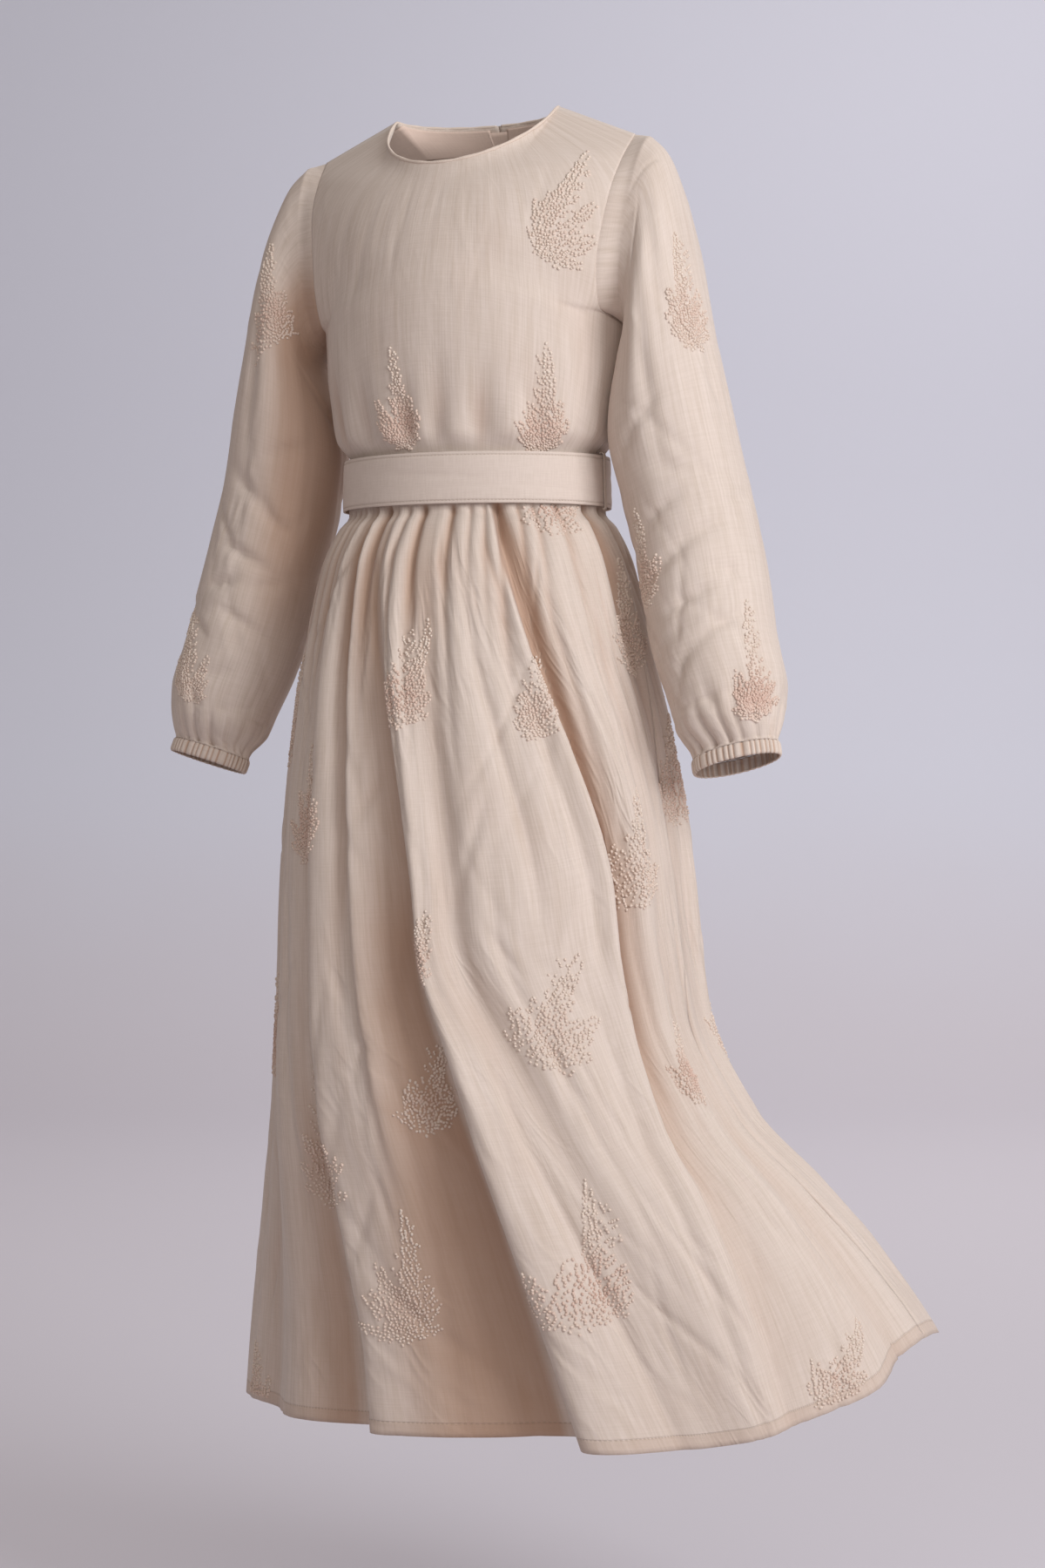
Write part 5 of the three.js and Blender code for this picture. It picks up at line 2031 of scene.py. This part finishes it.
@dataclass
class Embroidery:
    """Raised sprigs of knotted thread, scattered over the dress."""

    grain: Triple = (0.00185, 0.00140, 0.00120)
    stand_off: float = 0.0004
    columns = ("angle", "v", "height", "width", "tilt")
    bodice = Table(
        columns,
        [
            (72.5, 0.8, 0.108, 0.066, 26),
            (-12, 0.275, 0.1, 0.052, -6),
            (48, 0.262, 0.104, 0.058, 4),
            (142, 0.34, 0.104, 0.06, 5),
            (-146, 0.3, 0.1, 0.058, -6),
            (-118, 0.78, 0.1, 0.06, -18),
        ],
    )
    skirt_front = Table(
        columns,
        [
            (57, 0.012, 0.08, 0.06, 10),
            (0, 0.205, 0.1, 0.056, 3),
            (40, 0.235, 0.076, 0.04, 8),
            (-36, 0.34, 0.112, 0.058, -4),
            (71, 0.42, 0.098, 0.066, 6),
            (8, 0.495, 0.076, 0.04, 14),
            (41, 0.565, 0.104, 0.086, 16),
            (2.5, 0.635, 0.088, 0.056, 8),
            (-30.5, 0.695, 0.122, 0.072, -2),
            (-13, 0.835, 0.118, 0.074, 2),
            (26.5, 0.81, 0.12, 0.084, 16),
            (78, 0.67, 0.08, 0.04, 12),
            (-60, 0.985, 0.086, 0.056, 0),
            (61, 0.962, 0.08, 0.056, 24),
            (-72, 0.24, 0.104, 0.06, -4),
            (-70, 0.58, 0.11, 0.066, 4),
            (85, 0.16, 0.1, 0.056, 6),
        ],
    )
    skirt_back = Table(
        columns,
        [
            (98, 0.34, 0.1, 0.06, 8),
            (124, 0.2, 0.104, 0.06, 4),
            (152, 0.36, 0.106, 0.062, -4),
            (-176, 0.18, 0.1, 0.06, 3),
            (-148, 0.32, 0.106, 0.064, -6),
            (-116, 0.2, 0.102, 0.06, 5),
            (112, 0.62, 0.112, 0.074, 14),
            (142, 0.66, 0.112, 0.074, 8),
            (172, 0.56, 0.112, 0.072, -3),
            (-150, 0.66, 0.112, 0.074, 5),
            (-112, 0.52, 0.11, 0.07, -5),
            (128, 0.9, 0.112, 0.078, 10),
            (160, 0.88, 0.114, 0.078, 0),
            (-168, 0.9, 0.11, 0.076, 4),
            (-126, 0.86, 0.112, 0.074, -4),
            (-100, 0.8, 0.11, 0.07, 6),
        ],
    )
    sleeve_left = Table(
        columns,
        [
            (23, 0.355, 0.11, 0.056, 6),
            (38, 0.8, 0.108, 0.054, 4),
            (128, 0.61, 0.08, 0.044, -8),
            (236, 0.42, 0.104, 0.056, 0),
            (282, 0.78, 0.1, 0.054, 5),
        ],
    )
    sleeve_right = Table(
        columns,
        [
            (86, 0.25, 0.092, 0.048, -6),
            (64, 0.76, 0.104, 0.052, -6),
            (330, 0.4, 0.104, 0.056, 0),
            (250, 0.66, 0.1, 0.054, 6),
        ],
    )

    def scatter(
        self, name: str, sprigs: Table, surface: Place, sense: int, limits: Pair, seed: int
    ) -> Piece:
        """Sews a table of sprigs onto a surface.

        Args:
            name: Name of the joined piece.
            sprigs: Their places and sizes.
            surface: The cloth's outer side, from an angle and a share.
            sense: +1 if the surface's own directions turn outwards, else -1.
            limits: Lowest and highest share that may be sewn.
            seed: First seed of the sprigs' own unevenness.

        Returns:
            The joined piece.
        """
        angles, shares, headings, tints = [], [], [], []
        for number, row in enumerate(sprigs.rows()):
            sprig = Sprig(row["height"], row["width"], row["tilt"], seed + number)
            across, up, heading, tint = sprig.grains()
            at = np.array([row["angle"]]), np.array([row["v"]])
            wide, tall = 4.0, 0.03
            low, high = np.maximum(at[1] - tall, 0.0), np.minimum(at[1] + tall, 1.0)
            by_angle = (surface(at[0] + wide, at[1]) - surface(at[0] - wide, at[1]))[0] / (2 * wide)
            by_share = (surface(at[0], high) - surface(at[0], low))[0] / (high[0] - low[0])
            normal = unit(sense * np.cross(by_angle, by_share))
            upward = unit(np.array([0, 0, 1.0]) - normal[2] * normal)
            sideways = np.cross(upward, normal)
            wanted = across[:, None] * sideways + up[:, None] * upward
            basis = np.stack([by_angle, by_share], 1)
            steps = np.linalg.lstsq(basis, wanted.T, rcond=None)[0]
            angles.append(row["angle"] + steps[0])
            shares.append(row["v"] + steps[1])
            headings.append(heading)
            tints.append(tint)
        angle, share = np.concatenate(angles), np.concatenate(shares)
        heading, tint = np.concatenate(headings), np.concatenate(tints)
        keep = (share > limits[0]) & (share < limits[1])
        angle, share, heading, tint = angle[keep], share[keep], heading[keep], tint[keep]
        here = surface(angle, share)
        around = surface(angle + 0.25, share) - surface(angle - 0.25, share)
        down = surface(angle, share + 0.002) - surface(angle, share - 0.002)
        out = unit(sense * np.cross(around, down))
        turned = np.radians(heading)[:, None]
        upward = unit(np.array([0, 0, 1.0]) - out[:, 2:] * out)
        along = np.cos(turned) * upward + np.sin(turned) * np.cross(upward, out)
        size = np.random.default_rng(seed).uniform(0.8, 1.2, len(here))
        return Beads(name, self.grain).build(here + out * self.stand_off, along, out, tint, size)

    def build(self) -> list[Piece]:
        """Sews all sprigs, a joined piece for each part of the dress.

        Returns:
            The pieces.
        """
        thread = ThreadFinish("sprig_thread").material()
        left, right = SleeveForm(Side.LEFT, BODICE), SleeveForm(Side.RIGHT, BODICE)
        pieces = [
            self.scatter("sprigs_bodice", self.bodice, BODICE.point, 1, (0.085, 0.985), 100),
            self.scatter("sprigs_skirt_front", self.skirt_front, SKIRT.point, -1, (0.028, 0.994), 200),
            self.scatter("sprigs_skirt_back", self.skirt_back, SKIRT.point, -1, (0.028, 0.994), 300),
            self.scatter("sprigs_sleeve_left", self.sleeve_left, left.point, 1, (0.07, 0.985), 400),
            self.scatter("sprigs_sleeve_right", self.sleeve_right, right.point, -1, (0.07, 0.985), 500),
        ]
        for piece in pieces:
            dress_piece(piece, thread, "gauze")
        return pieces


@dataclass
class NeckFinish:
    """The facings inside the back neckline, the zip tape and the rolled edge of the neck."""

    half_angle: float = 54
    opening: float = 2.9
    facing_rows: Pair = (1 - 1 / 14, 0.992)
    tape_rows: Pair = (3 / 14, 0.985)
    tape_angles: Pair = (176.25, 183.75)
    thickness: float = 0.0009
    roll: float = 0.0013
    roll_wall: float = 0.0003

    def sunk(self, angle: Array, v: Array, depth: float) -> Array:
        """Points of the bodice moved inwards.

        Args:
            angle: Angles round the body.
            v: Shares of the height.
            depth: How far inwards.

        Returns:
            A point for each place.
        """
        step = 0.3
        here = BODICE.point(angle, v)
        around = BODICE.point(angle + step, v) - BODICE.point(angle - step, v)
        rise = 0.004
        above = BODICE.point(angle, np.minimum(v + rise, 1))
        up = above - BODICE.point(angle, np.minimum(v, 1 - rise) - rise)
        normal = unit(np.cross(around, up))
        return here - depth * normal

    def strip(
        self,
        name: str,
        start: float,
        end: float,
        rows: Pair,
        depth: float,
        grid: tuple[int, int],
    ) -> Piece:
        """A strip of trim behind the bodice between two angles.

        Args:
            name: Its name.
            start: First angle.
            end: Last angle.
            rows: Lowest and highest share of the bodice.
            depth: How far inwards.
            grid: Its columns and rows.

        Returns:
            The piece.
        """

        def place(across: Array, up: Array) -> Array:
            """Points of the strip."""
            return self.sunk(mix(start, end, across), mix(rows[0], rows[1], up), depth)

        def weave(across: Array, up: Array) -> Array:
            """Place across the strip and up it."""
            return np.stack([mix(start, end, across) / 90 * 0.2 + 40, up * 0.4 * (rows[1] - rows[0])], 1)

        return ClothGrid(name, *grid, place, weave, thickness=self.thickness).build()

    def rolled_edge(self, finish: Material) -> Piece:
        """The narrow turned edge that runs round the neckline from one side of the zip to the other.

        Args:
            finish: Its material.

        Returns:
            The piece.
        """
        path = np.concatenate(
            [np.linspace(179.2, 140.6, 44), np.linspace(39.4, -39.4, 96), np.linspace(-140.6, -179.2, 44)]
        )
        top = np.ones_like(path)
        centre, below = BODICE.point(path, top), BODICE.point(path, top - 0.006)
        along = unit(np.gradient(centre, axis=0))
        up = centre - below
        up -= along * (up * along).sum(1, keepdims=True)
        up = unit(up)
        out = np.cross(along, up)
        key = np.arange(path.size, dtype=float)

        def place(across: Array, around: Array) -> Array:
            """Points of the roll.

            Args:
                across: Places across the piece.
                around: Places round the roll.

            Returns:
                A point for each place.
            """
            at = across * (path.size - 1)
            middle, rise, side = (
                np.stack([np.interp(at, key, line[:, axis]) for axis in range(3)], 1)
                for line in (centre, up, out)
            )
            turned = 2 * np.pi * around[:, None]
            roll = self.roll * (1 + 0.12 * np.sin(across[:, None] * 130))
            return middle + roll * (np.cos(turned) * rise * 1.2 + np.sin(turned) * side) - 0.0006 * rise

        columns = 2 * (path.size - 1)
        weave = even_weave(0.5, 0.01, 44)
        piece = ClothGrid("neck_edge", columns, 10, place, weave, thickness=self.roll_wall).build()
        dress_piece(piece, finish, "gauze")
        return piece

    def build(self) -> list[Piece]:
        """Builds the facings, the tape and the rolled edge.

        Returns:
            The pieces.
        """
        cloth = SmoothFinish("facing_cloth", srgb(226, 200, 184), srgb(208, 180, 164)).material()
        pieces = []
        depth = CLOTH + LAYER_GAP
        for side in Side:
            name = f"neck_facing_{side.value}"
            edges = (180 - self.half_angle, 180 - self.opening)
            start, end = edges if side is Side.LEFT else (360 - edges[1], 360 - edges[0])
            piece = self.strip(name, start, end, self.facing_rows, depth, (60, 14))
            dress_piece(piece, cloth, "facing_cloth", name)
            pieces.append(piece)
        tape = self.strip("zip_tape", *self.tape_angles, self.tape_rows, depth, (12, 80))
        dress_piece(tape, cloth, "facing_cloth", "zip_tape")
        edge = SmoothFinish("neck_edge_cloth", srgb(222, 203, 188), srgb(204, 184, 168)).material()
        return [*pieces, tape, self.rolled_edge(edge)]


@dataclass
class ZipMetal:
    """The zip's slider and its pull tab, kept from the frame with a metal finish."""

    nodes: tuple[str, str] = ("zip_slider", "zip_pull")

    def build(self) -> list[Piece]:
        """Dresses the two metal pieces.

        Returns:
            The pieces.
        """
        metal = MetalFinish("zip_metal").material()
        pieces = [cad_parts[name] for name in self.nodes]
        for piece in pieces:
            piece.data.materials.clear()
            piece.data.materials.append(metal)
        return pieces


@dataclass(frozen=True)
class Lamp:
    """A soft panel: its place to the right, near and up, and how far behind the dress it aims."""

    name: str
    place: Triple
    size: Pair
    watts: float
    tint: Triple
    beyond: float = 0.0


@dataclass
class Studio:
    """Pale paper sweep, soft lights and the camera."""

    floor_z: float = -1.58
    camera_at: Triple = (1.362, -2.673, -0.595)
    look_at: Triple = (0.041, 0.0209, -0.656)
    lens: float = 69.0
    right: Pair = (0.891, 0.454)
    length: float = 17.0
    flat: float = 10.4
    bend_radius: float = 2.0
    half_width: float = 8.0
    near_edge: float = 5.8
    lamps: tuple[Lamp, ...] = (
        Lamp("key", (1.82, 2.22, 0.45), (1.3, 1.7), 62, (1.0, 1.05, 1.11)),
        Lamp("fill", (0.0, 2.9, 0.9), (2.4, 1.6), 19, (1.0, 1.01, 1.01)),
        Lamp("backdrop", (1.9, -2.9, 2.6), (4.0, 1.4), 112, (0.98, 0.98, 1.0), 4.6),
    )
    air: tuple[float, ...] = (0.95, 0.885, 0.86, 1)
    air_strength: float = 0.345
    aim_at: Triple = (0.04, 0.02, -0.6)
    dip: float = 0.1

    def sweep(self) -> Piece:
        """Floor that curves up into the backdrop.

        Returns:
            The sweep.
        """
        form = bmesh.new()
        bmesh.ops.create_grid(form, x_segments=8, y_segments=60, size=1)
        start, radius, (cosine, sine) = self.flat, self.bend_radius, self.right
        for vert in form.verts:
            share = (vert.co.y + 1) / 2
            run = share * self.length
            bend = np.clip((run - start) / (radius * math.pi / 2), 0, 1) * math.pi / 2
            past = max(run - start - radius * math.pi / 2, 0)
            back = min(run, start) + radius * math.sin(bend)
            up = radius * (1 - math.cos(bend)) + past
            side = vert.co.x * self.half_width
            far = back - self.near_edge
            vert.co = (cosine * side - sine * far, sine * side + cosine * far, self.floor_z + up)
        for face in form.faces:
            face.smooth = True
        mesh = bpy.data.meshes.new("studio_sweep")
        form.to_mesh(mesh)
        form.free()
        sweep = add_object("studio_sweep", mesh)
        mesh.materials.append(StageFinish("studio_paper", floor_z=self.floor_z).material())
        return sweep

    def light(self, lamp: Lamp) -> None:
        """Sets up one panel, which faces the dress or the paper a distance beyond it.

        Args:
            lamp: The panel.
        """
        cosine, sine = self.right
        right, near, up = lamp.place
        at = cosine * right + sine * near, sine * right - cosine * near, up
        light = bpy.data.lights.new(lamp.name, "AREA")
        light.shape = "RECTANGLE"
        light.size, light.size_y = lamp.size
        light.energy = lamp.watts
        light.color = lamp.tint
        holder = add_object(lamp.name, light)
        holder.location = at
        x, y, z = self.aim_at
        target = Vector((x - sine * lamp.beyond, y + cosine * lamp.beyond, z - self.dip * lamp.beyond))
        holder.rotation_euler = (target - Vector(at)).to_track_quat("-Z", "Y").to_euler()

    def camera(self) -> None:
        """The camera at the dress's height, a little to its left."""
        lens = bpy.data.cameras.new("camera")
        lens.lens = self.lens
        camera = add_object("camera", lens)
        camera.location = self.camera_at
        view = Vector(self.look_at) - Vector(self.camera_at)
        camera.rotation_euler = view.to_track_quat("-Z", "Y").to_euler()
        bpy.context.scene.camera = camera

    def build(self) -> None:
        """Sets up the whole studio."""
        self.sweep()
        self.camera()
        for lamp in self.lamps:
            self.light(lamp)
        world = bpy.data.worlds.new("studio_air")
        world.use_nodes = True
        air = next(n for n in world.node_tree.nodes if n.type == "BACKGROUND")
        air.inputs[0].default_value = self.air
        air.inputs[1].default_value = self.air_strength
        bpy.context.scene.world = world
        bpy.context.scene.view_settings.view_transform = "Standard"


def main() -> None:
    """Builds the studio and each sub-assembly of the dress in order."""
    logging.basicConfig(level=logging.INFO, format="%(name)s: %(message)s")
    Studio().build()
    for part in (Skirt(), Bodice(), Sleeves(), Belt(), NeckFinish(), ZipMetal(), Embroidery()):
        for piece in part.build():
            log.info("%s: %s with %d faces", type(part).__name__, piece.name, len(piece.data.polygons))


if __name__ == "__main__":
    main()
